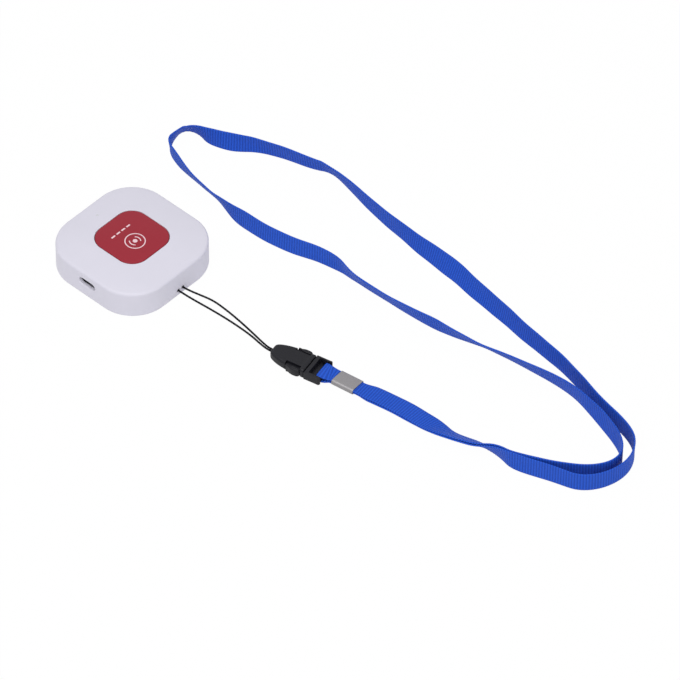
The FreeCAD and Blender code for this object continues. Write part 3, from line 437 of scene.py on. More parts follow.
def square_rows(gauge, height, sides, corner_steps=22):
    """Rows of a profile carried round the rounded square, anticlockwise from above. Each side
    gives its own shares of the straight stretch, and each corner is a quarter circle."""
    gauge = np.asarray(gauge, float)[:, None]
    radius = corner_radius(gauge)
    straight = gauge - radius
    sweep = np.linspace(0, np.pi / 2, corner_steps, endpoint=False)[None, 1:]
    columns_x, columns_y = [], []
    for number, shares in enumerate(sides):
        turn = number * np.pi / 2
        shares = np.asarray(shares, float)[None, :]
        x = np.hstack([gauge + 0 * shares, straight + radius * np.cos(sweep)])
        y = np.hstack([straight * shares, straight + radius * np.sin(sweep)])
        columns_x.append(x * math.cos(turn) - y * math.sin(turn))
        columns_y.append(x * math.sin(turn) + y * math.cos(turn))
    x, y = np.hstack(columns_x), np.hstack(columns_y)
    return np.stack([x, y, np.broadcast_to(np.asarray(height, float)[:, None], x.shape)], axis=2)


print(f"rim at {RIM_HEIGHT:.2f} mm, crown's edge at gauge {CROWN_EDGE:.2f} mm")

# %% [markdown]
# Four openings go through the case's skin: the charging port, two strap holes and the pin hole
# of the light. Each takes the place of a block of grid cells, on the outside and on the inside.
# A fan of rings then runs from the outer block's border to the hole's edge, through the wall
# and out to the inner block's border, so the skin stays one closed surface.

# %% The case's profile and its columns
PORT_MIDDLE, PORT_HALF, PORT_TALL = (0.5, 8.2), 4.95, 3.9
STRAP_MIDDLES, STRAP_HEIGHT, STRAP_RADIUS = (1.25, -1.65), 3.3, 0.85
LIGHT_PLACE, LIGHT_RADIUS = 21.8, 0.6
STRAIGHT = CASE_HALF - CASE_CORNER
even = np.linspace(-1, 1, 13)
port_side = np.r_[np.linspace(-1, -5.7 / STRAIGHT, 4)[:-1],
                  np.linspace(-5.7, 6.7, 17) / STRAIGHT,
                  np.linspace(6.7 / STRAIGHT, 1, 4)[1:]]
strap_side = np.r_[np.linspace(-1, -2.7 / STRAIGHT, 6)[:-1],
                   np.linspace(-2.7, 0.2, 9) / STRAIGHT,
                   np.linspace(0.2, 3.1, 9)[1:] / STRAIGHT,
                   np.linspace(3.1 / STRAIGHT, 1, 6)[1:]]
light_side = np.r_[np.linspace(-1, -0.14, 7)[:-1],
                   np.linspace(-0.14, 0.14, 7),
                   np.linspace(0.14, 1, 7)[1:]]
case_sides = [port_side, strap_side, even, light_side]
foot_turn = np.radians([-90, -60, -30, 0])
rim_turn = np.linspace(0, np.pi / 2 - RIM_LEAN, 9)
strap_rows, port_rows = np.linspace(1.85, 4.75, 9), np.linspace(5.1, 11.3, 11)
wall_rows = np.r_[1.3, strap_rows, port_rows, 12.0]
light_rows = np.linspace(23.1, 20.5, 7)
crown_rows = np.r_[np.linspace(CROWN_EDGE, 23.1, 6)[1:-1], light_rows, 19.0, 17.4, 15.9, 15.1]
LIP = 0.22
lip_turn = np.radians([0, 30, 60, 90])
lip_top = float(crown_height(OPENING_HALF + LIP)) - LIP
outer_gauge = np.r_[28.5, CASE_HALF - FOOT_ROUND + FOOT_ROUND * np.cos(foot_turn),
                    np.full(len(wall_rows), CASE_HALF),
                    CASE_HALF - RIM_ROUND + RIM_ROUND * np.cos(rim_turn), crown_rows,
                    OPENING_HALF + LIP - LIP * np.sin(lip_turn), OPENING_HALF]
outer_height = np.r_[0.0, FOOT_ROUND + FOOT_ROUND * np.sin(foot_turn), wall_rows,
                     RIM_HEIGHT + RIM_ROUND * np.sin(rim_turn), crown_height(crown_rows),
                     lip_top + LIP * np.cos(lip_turn), lip_top - 1.2]
inner_crown = np.r_[15.4, 17.4, light_rows[::-1], 24.6, 26.4]
inner_gauge = np.r_[inner_crown, np.full(len(wall_rows), CASE_HALF - CASE_WALL), 28.2]
inner_height = np.r_[crown_height(inner_crown) - CASE_WALL, wall_rows[::-1], 0.15]
profile_gauge = np.r_[outer_gauge, inner_gauge]
profile_height = np.r_[outer_height, inner_height]
case_grid = square_rows(profile_gauge, profile_height, case_sides)
print("case grid", case_grid.shape[:2])

# %% [markdown]
# Cutting comes down to four small steps: find the block's border, place the rings, leave out
# the block's faces, and join the rings. The points that no face uses any more are dropped.

# %% Cutting an opening through both skins
def row_span(values, wanted, first, last):
    """Numbers of the rows between first and last whose value is nearest each wanted one."""
    span = np.arange(first, last)
    return [int(span[np.argmin(np.abs(values[span] - value))]) for value in wanted]


def block_border(rows, columns):
    """Row and column numbers round a block, anticlockwise seen from outside, from its first
    corner."""
    low, high = [(rows[0], c) for c in columns[:-1]], [(rows[-1], c) for c in columns[:0:-1]]
    right, left = [(r, columns[-1]) for r in rows[:-1]], [(r, columns[0]) for r in rows[:0:-1]]
    return np.array(low + right + high + left)


def slot_edge(half_long, half_tall, ways):
    """Points where rays at the given angles meet an obround of that half length and height."""
    reach = half_long - half_tall
    cosine, sine = np.cos(ways), np.sin(ways)
    flat = half_tall / np.maximum(np.abs(sine), 1e-9)
    bend = reach * np.abs(cosine) + np.sqrt(
        np.maximum(half_tall ** 2 - (reach * sine) ** 2, 0.0))
    distance = np.where(flat * np.abs(cosine) <= reach, flat, bend)
    return np.stack([distance * cosine, distance * sine], axis=1)


def opening_rings(outer, inner, centre, right, up, half_long, half_tall, ease):
    """Rings from the outer border to the hole's edge, through the wall and to the inner
    border. Places are worked out on the opening's own axes: right, up and outward."""
    outward = np.cross(right, up)
    axes = np.stack([right, up, outward], axis=1)
    out_place, in_place = (outer - centre) @ axes, (inner - centre) @ axes
    ways = np.arctan2(out_place[:, 1], out_place[:, 0])
    wall = in_place[:, 2].mean()
    rings = []
    for share in (0.45, 0.8):
        edge = slot_edge(half_long + ease, half_tall + ease, ways)
        flat = out_place[:, :2] * (1 - share) + edge * share
        rings.append(np.c_[flat, out_place[:, 2] * (1 - share)])
    for turn in np.radians([0, 30, 60, 90]):
        grow = ease * (1 - math.sin(turn))
        edge = slot_edge(half_long + grow, half_tall + grow, ways)
        rings.append(np.c_[edge, np.full(len(edge), -ease * (1 - math.cos(turn)))])
    edge = slot_edge(half_long, half_tall, ways)
    rings.append(np.c_[edge, np.full(len(edge), wall)])
    return [centre + ring @ axes.T for ring in rings]


def without_blocks(columns, faces, blocks):
    """A grid's faces, less those that lie in a block of rows and columns."""
    cell_row, cell_column = np.divmod(np.arange(len(faces)), columns)
    keep = np.ones(len(faces), bool)
    for block_rows, span in blocks:
        inside = (cell_row >= min(block_rows)) & (cell_row < max(block_rows))
        keep &= ~(inside & (cell_column >= span[0]) & (cell_column < span[-1]))
    return faces[keep]


def strips_between(rings):
    """Faces between each ring of point numbers and the next."""
    return [np.stack([near, np.roll(near, -1), np.roll(deep, -1), deep], axis=1)
            for near, deep in zip(rings, rings[1:])]


def used_only(points, parts):
    """The points that the parts' faces use, and all faces with their new point numbers."""
    used = np.zeros(len(points), bool)
    for part in parts:
        used[part.ravel()] = True
    number = np.cumsum(used) - 1
    return points[used], [face for part in parts for face in number[part].tolist()]


def open_case(grid, openings):
    """Points and faces of the grid with each opening's blocks cut out and its rings put in."""
    rows, columns = grid.shape[:2]
    blocks = [(block, row[2]) for row in openings for block in row[:2]]
    parts = [without_blocks(columns, grid_faces(rows, columns, rows_loop=True), blocks)]
    points = grid.reshape(-1, 3)
    for outer_rows, inner_rows, span, place, half_long, half_tall, ease in openings:
        outer, inner = block_border(outer_rows, span), block_border(inner_rows, span)
        rim, far = grid[outer[:, 0], outer[:, 1]], grid[inner[:, 0], inner[:, 1]]
        rings = opening_rings(rim, far, *place, half_long, half_tall, ease)
        numbers = [outer @ (columns, 1)]
        numbers += [len(points) + n * len(rim) + np.arange(len(rim)) for n in range(len(rings))]
        numbers += [inner @ (columns, 1)]
        parts += strips_between(numbers)
        points = np.vstack([points] + rings)
    return used_only(points, parts)


# %% [markdown]
# Now the openings are placed. The rows of each block are looked up by their height or gauge on
# the outer and the inner stretch of the profile, and the columns by their place on the side.
# A place is the hole's middle with its two axes in the wall.

# %% The white case
corner_columns = 21
foot_end = 1 + len(foot_turn)
wall_end = foot_end + len(wall_rows)
outer_count, all_rows = len(outer_gauge), len(profile_gauge)
inner_wall = outer_count + len(inner_crown)
column_of = np.cumsum([0] + [len(side) + corner_columns for side in case_sides])
outside_port = row_span(profile_height, port_rows, foot_end, wall_end)
inside_port = row_span(profile_height, port_rows, inner_wall, all_rows)
outside_strap = row_span(profile_height, strap_rows, foot_end, wall_end)
inside_strap = row_span(profile_height, strap_rows, inner_wall, all_rows)
outside_light = row_span(profile_gauge, light_rows, wall_end + len(rim_turn), outer_count)
inside_light = row_span(profile_gauge, light_rows, outer_count, inner_wall)
X, Y, Z = np.eye(3)
HAIR = 1e-6
light_top = np.array([0.0, -LIGHT_PLACE, float(crown_height(LIGHT_PLACE))])
light_up = np.array([0.0, 1.0, LIGHT_PLACE / CROWN_RADIUS])
light_up /= np.linalg.norm(light_up)
openings = [(outside_port, inside_port, np.arange(3, 20) + column_of[0],
             (np.array([CASE_HALF, *PORT_MIDDLE]), Y, Z), PORT_HALF, PORT_TALL / 2, 0.3)]
for number, middle in enumerate(STRAP_MIDDLES):
    span = np.arange(5 + 8 * number, 14 + 8 * number) + column_of[1]
    place = (np.array([middle, CASE_HALF, STRAP_HEIGHT]), -X, Z)
    openings.append((outside_strap, inside_strap, span, place, STRAP_RADIUS, STRAP_RADIUS - HAIR, 0.2))
openings.append((outside_light, inside_light, np.arange(6, 13) + column_of[3],
                 (light_top, X, light_up), LIGHT_RADIUS, LIGHT_RADIUS - HAIR, 0.12))
case_points, case_faces = open_case(case_grid, openings)
case_shell = mesh_piece("moulded_case", case_points * MM, case_faces, sharp=50)
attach(case_shell, "root")
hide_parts("front_shell")
report(case_shell, "case with its openings")

# %% [markdown]
# The button is the same pillow, cut at a smaller gauge, with a softly rounded edge and a skirt
# that goes down into the case. It is closed underneath, and a fan of triangles closes each
# pole. It rides on its own body, so it goes down when it is pressed.

# %% The red button
BUTTON_HALF, BUTTON_EDGE, BUTTON_FOOT = 14.4, 0.35, 12.9
edge_turn = np.radians([0, 22, 45, 68, 90])
edge_height = float(crown_height(BUTTON_HALF - BUTTON_EDGE)) - BUTTON_EDGE
top_gauge = np.r_[13.4, 12.4, 11.2, 10.0, 8.6, 7.2, 5.6, 4.0, 2.4, 1.0]
button_gauge = np.r_[12.5, BUTTON_HALF, BUTTON_HALF,
                     BUTTON_HALF - BUTTON_EDGE + BUTTON_EDGE * np.cos(edge_turn), top_gauge]
button_height = np.r_[BUTTON_FOOT, BUTTON_FOOT, 14.2,
                      edge_height + BUTTON_EDGE * np.sin(edge_turn), crown_height(top_gauge)]
button_grid = square_rows(button_gauge, button_height, [even] * 4)


def pole_fans(rows, columns):
    """Fans that close a grid's first and last row; the poles are the two points after it."""
    ring = np.arange(columns)
    after = np.roll(ring, -1)
    last = (rows - 1) * columns
    foot = np.stack([after, ring, np.full(columns, rows * columns)], axis=1)
    top = np.stack([last + ring, last + after, np.full(columns, rows * columns + 1)], axis=1)
    return [foot, top]


def capped_faces(rows, columns):
    """Grid closed by a fan at each end."""
    foot, top = pole_fans(rows, columns)
    return grid_faces(rows, columns).tolist() + foot.tolist() + top.tolist()


rows, columns = button_grid.shape[:2]
button_points = np.vstack([button_grid.reshape(-1, 3), [(0, 0, BUTTON_FOOT), (0, 0, CROWN_TOP)]])
button = mesh_piece("press_button", button_points * MM, capped_faces(rows, columns), sharp=50)
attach(button, "button")
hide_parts("call_button")
report(button, "button")

# %% [markdown]
# The button carries a printed sign. The print here is a plain one of its own: a ring with a dot
# and two arcs, which means a signal, and a row of four short bars. Ink is a layer a few
# hundredths of a millimetre thick, so each stroke is a flat band laid on the pillow. The pillow
# needs its gauge at any place, which is the root of a quadratic.

# %% The printed sign
INK_THICK, INK_SUNK = 0.03, 0.04
SIGN_MIDDLE, SIGN_RADIUS, STROKE = (1.3, 3.2), 4.6, 0.5
DOT_RADIUS, DOT_STROKE, ARC_RADIUS, ARC_SPREAD = 0.55, 1.08, 2.55, 48
BAR_COUNT, BAR_PITCH, BAR_HALF, BAR_LEVEL, BAR_STROKE = 4, 3.2, 1.1, -5.8, 0.8
SHRINK = OPENING_CORNER / OPENING_HALF


def gauge_at(x, y):
    """Half width of the rounded square through a place, where the corner radius is a fixed
    share of the half width. On a straight side it is the larger coordinate."""
    large, small = np.maximum(np.abs(x), np.abs(y)), np.minimum(np.abs(x), np.abs(y))
    centre = 1 - SHRINK
    a = 2 * centre ** 2 - SHRINK ** 2
    b = 2 * centre * (large + small)
    c = large ** 2 + small ** 2
    root = np.sqrt(np.maximum(b ** 2 - 4 * a * c, 0.0))
    corner = 2 * c / (b + root)
    return np.where(small <= centre * large, large, corner)


def ink_band(path, width, closed=False):
    """Flat band along a path in plan: two edges, each on the pillow and just above it."""
    path = np.asarray(path, float)
    if closed:
        ahead = np.roll(path, -1, axis=0) - np.roll(path, 1, axis=0)
    else:
        ahead = np.gradient(path, axis=0)
    ahead = unit(ahead)
    side = np.stack([-ahead[:, 1], ahead[:, 0]], axis=1) * width / 2
    plan = np.stack([path + side, path - side, path - side, path + side], axis=1)
    level = crown_height(gauge_at(plan[..., 0], plan[..., 1]))
    level = level + np.array([-INK_SUNK, -INK_SUNK, INK_THICK, INK_THICK])
    points = np.concatenate([plan, level[..., None]], axis=2)
    count = len(path)
    faces = grid_faces(count, 4, rows_loop=True).tolist() if closed else tube_faces(count, 4)
    return points.reshape(-1, 3), faces


def ring_path(radius, start=0.0, stop=360.0, count=60):
    turn = np.radians(np.linspace(start, stop, count, endpoint=stop - start < 360))
    return np.stack([SIGN_MIDDLE[0] + radius * np.cos(turn),
                     SIGN_MIDDLE[1] + radius * np.sin(turn)], axis=1)


sign_bands = [ink_band(ring_path(SIGN_RADIUS), STROKE, closed=True),
              ink_band(ring_path(DOT_RADIUS, count=24), DOT_STROKE, closed=True)]
for facing in (0, 180):
    arc = ring_path(ARC_RADIUS, facing - ARC_SPREAD, facing + ARC_SPREAD, 24)
    sign_bands.append(ink_band(arc, STROKE))
for number in range(BAR_COUNT):
    bar_x = SIGN_MIDDLE[0] + BAR_PITCH * (number - (BAR_COUNT - 1) / 2)
    bar = np.linspace((bar_x - BAR_HALF, BAR_LEVEL), (bar_x + BAR_HALF, BAR_LEVEL), 5)
    sign_bands.append(ink_band(bar, BAR_STROKE))
sign_points, sign_faces, first = [], [], 0
for points, faces in sign_bands:
    sign_points.append(points)
    sign_faces += [[first + corner for corner in face] for face in faces]
    first += len(points)
sign = mesh_piece("printed_sign", np.vstack(sign_points) * MM, sign_faces)
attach(sign, "button")
report(sign, "printed sign")

# %% [markdown]
# The crimp is a strip of steel bent flat round both layers of ribbon, with its ends lapped on
# the underside. Its section is a rounded rectangle with a small step where the strip's end
# lies on itself, carried along its length and turned in at both mouths.

# %% Crimp
CRIMP_HALF_WIDE, CRIMP_HALF_TALL, CRIMP_HALF_LONG, CRIMP_SKIN = 4.6, 1.45, 5.75, 0.4
CRIMP_CORNER, CRIMP_LEAST_CORNER = 1.2, 0.35
LAP_PLACE, LAP_WIDTH, LAP_DEPTH = 1.7, 0.18, 0.14


def crimp_surface():
    """Closed profile of inset and place along the sleeve, carried round a rounded rectangle
    whose half sides and corner shrink by the inset. The lap is a bell-shaped dent."""
    bend = np.radians(np.linspace(0, 180, 7))
    mouth_inset = CRIMP_SKIN / 2 - CRIMP_SKIN / 2 * np.cos(bend)
    mouth_long = CRIMP_HALF_LONG - CRIMP_SKIN / 2 + CRIMP_SKIN / 2 * np.sin(bend)
    body = np.linspace(-4.5, 4.5, 7)
    inset = np.r_[0 * body, mouth_inset, 0 * body + CRIMP_SKIN, mouth_inset[::-1]]
    along = np.r_[body, mouth_long, body[::-1], -mouth_long[::-1]]
    turn = np.linspace(0, np.pi / 2, 9)
    corner = np.maximum(CRIMP_CORNER - inset, CRIMP_LEAST_CORNER)[:, None]
    across, up = [], []
    for quarter, (sign_x, sign_y) in enumerate([(1, 1), (-1, 1), (-1, -1), (1, -1)]):
        sweep = turn + quarter * np.pi / 2
        across.append(sign_x * (CRIMP_HALF_WIDE - inset[:, None] - corner) + corner * np.cos(sweep))
        up.append(sign_y * (CRIMP_HALF_TALL - inset[:, None] - corner) + corner * np.sin(sweep))
        if quarter == 2:
            flat = np.linspace(-3.2, 3.2, 33)[None, :] + 0 * inset[:, None]
            dent = LAP_DEPTH * np.exp(-((flat - LAP_PLACE) / LAP_WIDTH) ** 2)
            dent = dent * (inset[:, None] < 0.05)
            across.append(flat)
            up.append(-(CRIMP_HALF_TALL - inset[:, None]) + dent)
    across, up = np.hstack(across), np.hstack(up)
    along = np.broadcast_to(along[:, None], across.shape)
    return on_crimp(np.stack([across, along, up], axis=2))


crimp_points = crimp_surface()
rows, columns = crimp_points.shape[:2]
crimp = mesh_piece("lapped_crimp", crimp_points.reshape(-1, 3) * MM,
                   grid_faces(rows, columns, rows_loop=True)[:, ::-1].tolist(), sharp=50)
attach(crimp, "root")
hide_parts("ribbon_crimp")
report(crimp, "crimp")

# %% [markdown]
# The buckle's socket is a bullet-nosed sleeve: rounded rectangles of growing width are carried
# along it to a raised lip, and from there back inside, so it is a hollow skin. A window is cut
# in each side, over the edge of the top and bottom plates. The thumb pads of the latches stand
# in these windows, nearly as tall as the socket, and leave the plates room for their travel.

# %% Buckle: rounded rectangles and slabs
BUCKLE_MIDDLE, SLAB_BULGE = 2.6, 0.06
PLATE_SHARES = np.array([0.845, 0.6, 0.3, 0.0, -0.3, -0.6, -0.845])


def sleeve_rows(along, half_wide, half_tall, corner):
    """Rounded rectangles, one for each place along the buckle. The columns start in the middle
    of the underside and go round by the right side, the top and the left side."""
    along, wide, tall, corner = (np.asarray(v, float)[:, None] for v in (
        along, half_wide, half_tall, corner))
    flat, rise = wide - corner, tall - corner
    quarter = np.linspace(0, np.pi / 2, 6)[None, :]
    bend, lift = corner * np.sin(quarter), corner * np.cos(quarter)
    sides = np.linspace(-0.7, 0.7, 5)[None, :]
    half = PLATE_SHARES[None, :4]
    across = [flat * half[:, ::-1], flat + bend, wide + 0 * sides, flat + lift,
              flat * PLATE_SHARES[None, :], -flat - bend, -wide + 0 * sides, -flat - lift,
              -flat * half[:, :3]]
    level = [-tall + 0 * half, -rise - lift, rise * sides, rise + bend,
             tall + 0 * PLATE_SHARES[None, :], rise + lift, -rise * sides, -rise - bend,
             -tall + 0 * half[:, :3]]
    across, level = np.hstack(across), np.hstack(level)
    along = np.broadcast_to(along, across.shape)
    return np.stack([across, along, level + BUCKLE_MIDDLE], axis=2)


def rounded_slab(outline, low, high, edge):
    """Closed slab over a star-shaped outline, with a quarter-round edge above and below."""
    outline = np.asarray(outline, float)
    middle = outline.mean(axis=0)
    ahead = unit(np.roll(outline, -1, axis=0) - np.roll(outline, 1, axis=0))
    inward = np.stack([-ahead[:, 1], ahead[:, 0]], axis=1)
    turn = np.radians(np.linspace(0, 90, 6))
    inset = np.r_[edge * (1 - np.sin(turn)), edge * (1 - np.sin(turn[::-1]))]
    level = np.r_[low + edge * (1 - np.cos(turn)), high - edge * (1 - np.cos(turn[::-1]))]
    rings = outline[None, :, :] + inward[None, :, :] * inset[:, None, None]
    level = np.broadcast_to(level[:, None, None], rings.shape[:2] + (1,))
    points = np.concatenate([rings, level], axis=2)
    poles = [(*middle, low), (*middle, high + SLAB_BULGE)]
    return np.vstack([points.reshape(-1, 3), poles]), capped_faces(*points.shape[:2])


def smooth_outline(corners, steps=8):
    """Closed line through the middles of a polygon's sides, bent by its corners."""
    corners = np.asarray(corners, float)
    start = (np.roll(corners, 1, axis=0) + corners) / 2
    end = (np.roll(corners, -1, axis=0) + corners) / 2
    share = np.linspace(0, 1, steps, endpoint=False)[None, :, None]
    line = (start[:, None] * (1 - share) ** 2 + 2 * corners[:, None] * share * (1 - share)
            + end[:, None] * share ** 2)
    return line.reshape(-1, 2)


# %% [markdown]
# The socket's rows are listed from the nose to the lip and back inside. Its two windows take
# the same rows on both skins, and the column numbers reach from the underside's plate edge
# round the side to the top's, so a strip between the two borders finishes each window.

# %% The socket with its two windows
NOSE_ALONG = np.array([0.0, 0.12, 0.45, 1.0, 1.8, 3.0, 4.5, 6.0, 7.5, 8.8])
NOSE_WIDE = np.array([1.7, 2.3, 2.85, 3.3, 3.75, 4.25, 4.75, 5.15, 5.45, 5.62])
NOSE_TALL = np.array([1.1, 1.6, 2.05, 2.3, 2.42, 2.48, 2.5, 2.5, 2.5, 2.5])
WINDOW_ALONG = np.linspace(9.7, 17.3, 12)
LIP_ALONG = np.array([17.55, 17.75, 19.0, 19.25, 19.4])
INSIDE_ALONG = np.r_[19.3, 18.9, WINDOW_ALONG[::-1], 7.6, 5.9]
SLEEVE_WIDE, SLEEVE_TALL, ROOM_WIDE, ROOM_TALL = 5.72, 2.5, 5.1, 1.72
WINDOW_STARTS, WINDOW_COLUMNS = (3, 27), 19
NOSE_POLE, ROOM_POLE = (0, -0.05, BUCKLE_MIDDLE), (0, 5.7, BUCKLE_MIDDLE)


def socket_surface():
    """Outer skin, lip and inner skin as one grid with a pole at each end, less the windows."""
    sleeve, room = np.ones(len(WINDOW_ALONG)), np.ones(len(INSIDE_ALONG) - 1)
    grid = sleeve_rows(
        np.r_[NOSE_ALONG, WINDOW_ALONG, LIP_ALONG, INSIDE_ALONG],
        np.r_[NOSE_WIDE, SLEEVE_WIDE * sleeve, 5.9, 6.0, 6.0, 5.95, 5.75, 5.2, ROOM_WIDE * room],
        np.r_[NOSE_TALL, SLEEVE_TALL * sleeve, 2.57, 2.6, 2.6, 2.54, 2.4, 1.85, ROOM_TALL * room],
        np.r_[0.55 * NOSE_TALL, 1.2 * sleeve, np.full(5, 1.2), 0.5, 0.5 * room])
    rows, columns = grid.shape[:2]
    outer = len(NOSE_ALONG) + np.arange(len(WINDOW_ALONG))
    inner = (outer[-1] + 1 + len(LIP_ALONG) + 2 + np.arange(len(WINDOW_ALONG)))[::-1]
    spans = [np.arange(start, start + WINDOW_COLUMNS) for start in WINDOW_STARTS]
    blocks = [(block, span) for span in spans for block in (outer, inner)]
    parts = [without_blocks(columns, grid_faces(rows, columns), blocks)]
    for span in spans:
        parts += strips_between([block_border(block, span) @ (columns, 1) for block in (outer, inner)])
    parts += pole_fans(rows, columns)
    points = np.vstack([grid.reshape(-1, 3), [NOSE_POLE, ROOM_POLE]])
    return used_only(points, [part[:, ::-1] for part in parts])


socket_points, socket_faces = socket_surface()
socket = mesh_piece("bullet_socket", on_buckle(socket_points) * MM, socket_faces, sharp=45)
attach(socket, "root")
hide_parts("buckle_socket")
report(socket, "socket")

# %% [markdown]
# Each latch carries a thumb pad, a bulging slab with a rounded edge. It covers the latch's flat
# end from above and below and rides on the latch, so it moves in when the latch is squeezed. A
# low deck closes the plug's window in front of the bar, where the ribbon turns.

# %% Thumb pads and the plug's deck
PAD_CORNERS = [(5.9, 10.0), (6.4, 11.8), (7.05, 13.4), (7.05, 16.2), (6.3, 17.4), (5.15, 17.15),
               (5.0, 14.5), (5.3, 12.0), (5.6, 10.3)]
DECK_CORNERS = [(5.15, 21.6), (5.15, 24.35), (0, 24.35), (-5.15, 24.35), (-5.15, 21.6), (0, 21.6)]
PAD_LOW, PAD_HIGH, PAD_EDGE = 0.5, 4.7, 0.55
DECK_LOW, DECK_HIGH, DECK_EDGE = 0.5, 2.5, 0.3
pads = []
for side, hand in (("right", 1), ("left", -1)):
    outline = smooth_outline([(hand * x, y) for x, y in PAD_CORNERS][::hand])
    points, faces = rounded_slab(outline, PAD_LOW, PAD_HIGH, PAD_EDGE)
    pad = mesh_piece(f"thumb_pad_{side}", on_buckle(points) * MM, faces, sharp=60)
    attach(pad, f"latch_{side}")
    report(pad, "thumb pad")
    pads.append(pad)
points, faces = rounded_slab(smooth_outline(DECK_CORNERS), DECK_LOW, DECK_HIGH, DECK_EDGE)
deck = mesh_piece("plug_deck", on_buckle(points) * MM, faces, sharp=60)
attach(deck, "root")
report(deck, "plug deck")

# %% [markdown]
# The two cords' lengths are printed. The string leaves the buckle's nose and goes
# into the case. The ribbon leaves the crimp and comes back into it, and the crimp, the buckle
# and the steel stop are the pieces that the cords carry.

# %% The cords' lengths
print(f"ribbon {ribbon_length:.0f} mm, string {string_length:.0f} mm")

# %% [markdown]
# Three effects are shared by the finishes. Moulded grain is the fine spark-eroded texture of
# plastic. Woven threads follow the cords' own maps: ribs across and fine threads along, and
# their mask paints shade into the valleys between ribs and between threads.
# Handling marks are soft cloudy patches, a little glossier, as fingers leave them. Each group
# only gives masks and heights; the shader itself stays in the material.

# %% Node groups
def new_group(name, inputs, outputs):
    group = bpy.data.node_groups.new(name, "ShaderNodeTree")
    for label, kind, value in inputs:
        socket = group.interface.new_socket(label, in_out="INPUT", socket_type=kind)
        if value is not None:
            socket.default_value = value
    for label in outputs:
        group.interface.new_socket(label, in_out="OUTPUT", socket_type="NodeSocketFloat")
    return group, group.nodes.new("NodeGroupInput"), group.nodes.new("NodeGroupOutput")


def maths(tree, operation, first, second=None, third=None):
    """Math node whose inputs are sockets or plain numbers."""
    node = tree.nodes.new("ShaderNodeMath")
    node.operation = operation
    for socket, value in zip(node.inputs, (first, second, third)):
        if hasattr(value, "links"):
            tree.links.new(value, socket)
        elif value is not None:
            socket.default_value = value
    return node.outputs[0]


def noise(tree, vector, scale, detail):
    node = tree.nodes.new("ShaderNodeTexNoise")
    tree.links.new(vector, node.inputs["Vector"])
    if hasattr(scale, "links"):
        tree.links.new(scale, node.inputs["Scale"])
    else:
        node.inputs["Scale"].default_value = scale
    node.inputs["Detail"].default_value = detail
    return node.outputs[0]


grain, given, made = new_group(
    "moulded_grain",
    [("Vector", "NodeSocketVector", None), ("Scale", "NodeSocketFloat", 2500.0)],
    ["Height", "Mask"])
fine = noise(grain, given.outputs["Vector"], given.outputs["Scale"], 3.0)
broad = noise(grain, given.outputs["Vector"], 90.0, 2.0)
grain.links.new(maths(grain, "MULTIPLY_ADD", fine, 0.8, maths(grain, "MULTIPLY", broad, 0.2)),
                made.inputs["Height"])
grain.links.new(maths(grain, "MULTIPLY_ADD", fine, 0.5, maths(grain, "MULTIPLY", broad, 0.5)),
                made.inputs["Mask"])

threads, given, made = new_group(
    "woven_threads_and_painted_shade",
    [("Vector", "NodeSocketVector", None), ("Rib pitch", "NodeSocketFloat", 1.3),
     ("Thread pitch", "NodeSocketFloat", 0.4)],
    ["Height", "Mask"])
parts = threads.nodes.new("ShaderNodeSeparateXYZ")
threads.links.new(given.outputs["Vector"], parts.inputs[0])
rib_turn = maths(threads, "DIVIDE", parts.outputs["Y"], given.outputs["Rib pitch"])
rib = maths(threads, "COSINE", maths(threads, "MULTIPLY", rib_turn, 2 * math.pi))
rib = maths(threads, "MULTIPLY_ADD", rib, 0.5, 0.5)
across_turn = maths(threads, "DIVIDE", parts.outputs["X"], given.outputs["Thread pitch"])
half_step = maths(threads, "MULTIPLY", maths(threads, "ROUND", rib_turn), 0.5)
across_turn = maths(threads, "ADD", across_turn, half_step)
thread = maths(threads, "ABSOLUTE", maths(
    threads, "SINE", maths(threads, "MULTIPLY", across_turn, math.pi)))
loose = noise(threads, given.outputs["Vector"], 1.7, 2.0)
height = maths(threads, "MULTIPLY_ADD", thread, 0.5, maths(threads, "MULTIPLY", rib, 0.5))
threads.links.new(height, made.inputs["Height"])
# Painted shade: the colour mask is darker in the valleys between ribs and between threads, where shade
# falls, and the loose noise adds a random tone on top.
shade = maths(threads, "MULTIPLY_ADD", rib, 0.62, maths(threads, "MULTIPLY", thread, 0.2))
shade = maths(threads, "ADD", shade, maths(threads, "MULTIPLY", loose, 0.25))
threads.links.new(shade, made.inputs["Mask"])

marks, given, made = new_group(
    "handling_marks", [("Vector", "NodeSocketVector", None), ("Scale", "NodeSocketFloat", 60.0)],
    ["Mask"])
cloud = noise(marks, given.outputs["Vector"], given.outputs["Scale"], 4.0)
spread = marks.nodes.new("ShaderNodeMapRange")
spread.inputs["From Min"].default_value = 0.35
spread.inputs["From Max"].default_value = 0.7
marks.links.new(cloud, spread.inputs["Value"])
marks.links.new(spread.outputs["Result"], made.inputs["Mask"])
print("groups", [group.name for group in (grain, threads, marks)])

# %% [markdown]
# Every finish is the same short recipe: two close tones of its colour mixed by the pattern's
# mask, a roughness that moves a little with the handling marks, and the pattern's height as a
# bump. Plastics use moulded grain on object coordinates, the cords use the woven threads on
# their own map, whose mask paints shade into the weave's valleys, and metals add a high
# metallic value.

# %% Finishes
UM = 1e-6
FINE_GRAIN, COARSE_GRAIN = [("Scale", 2600.0)], [("Scale", 1300.0)]


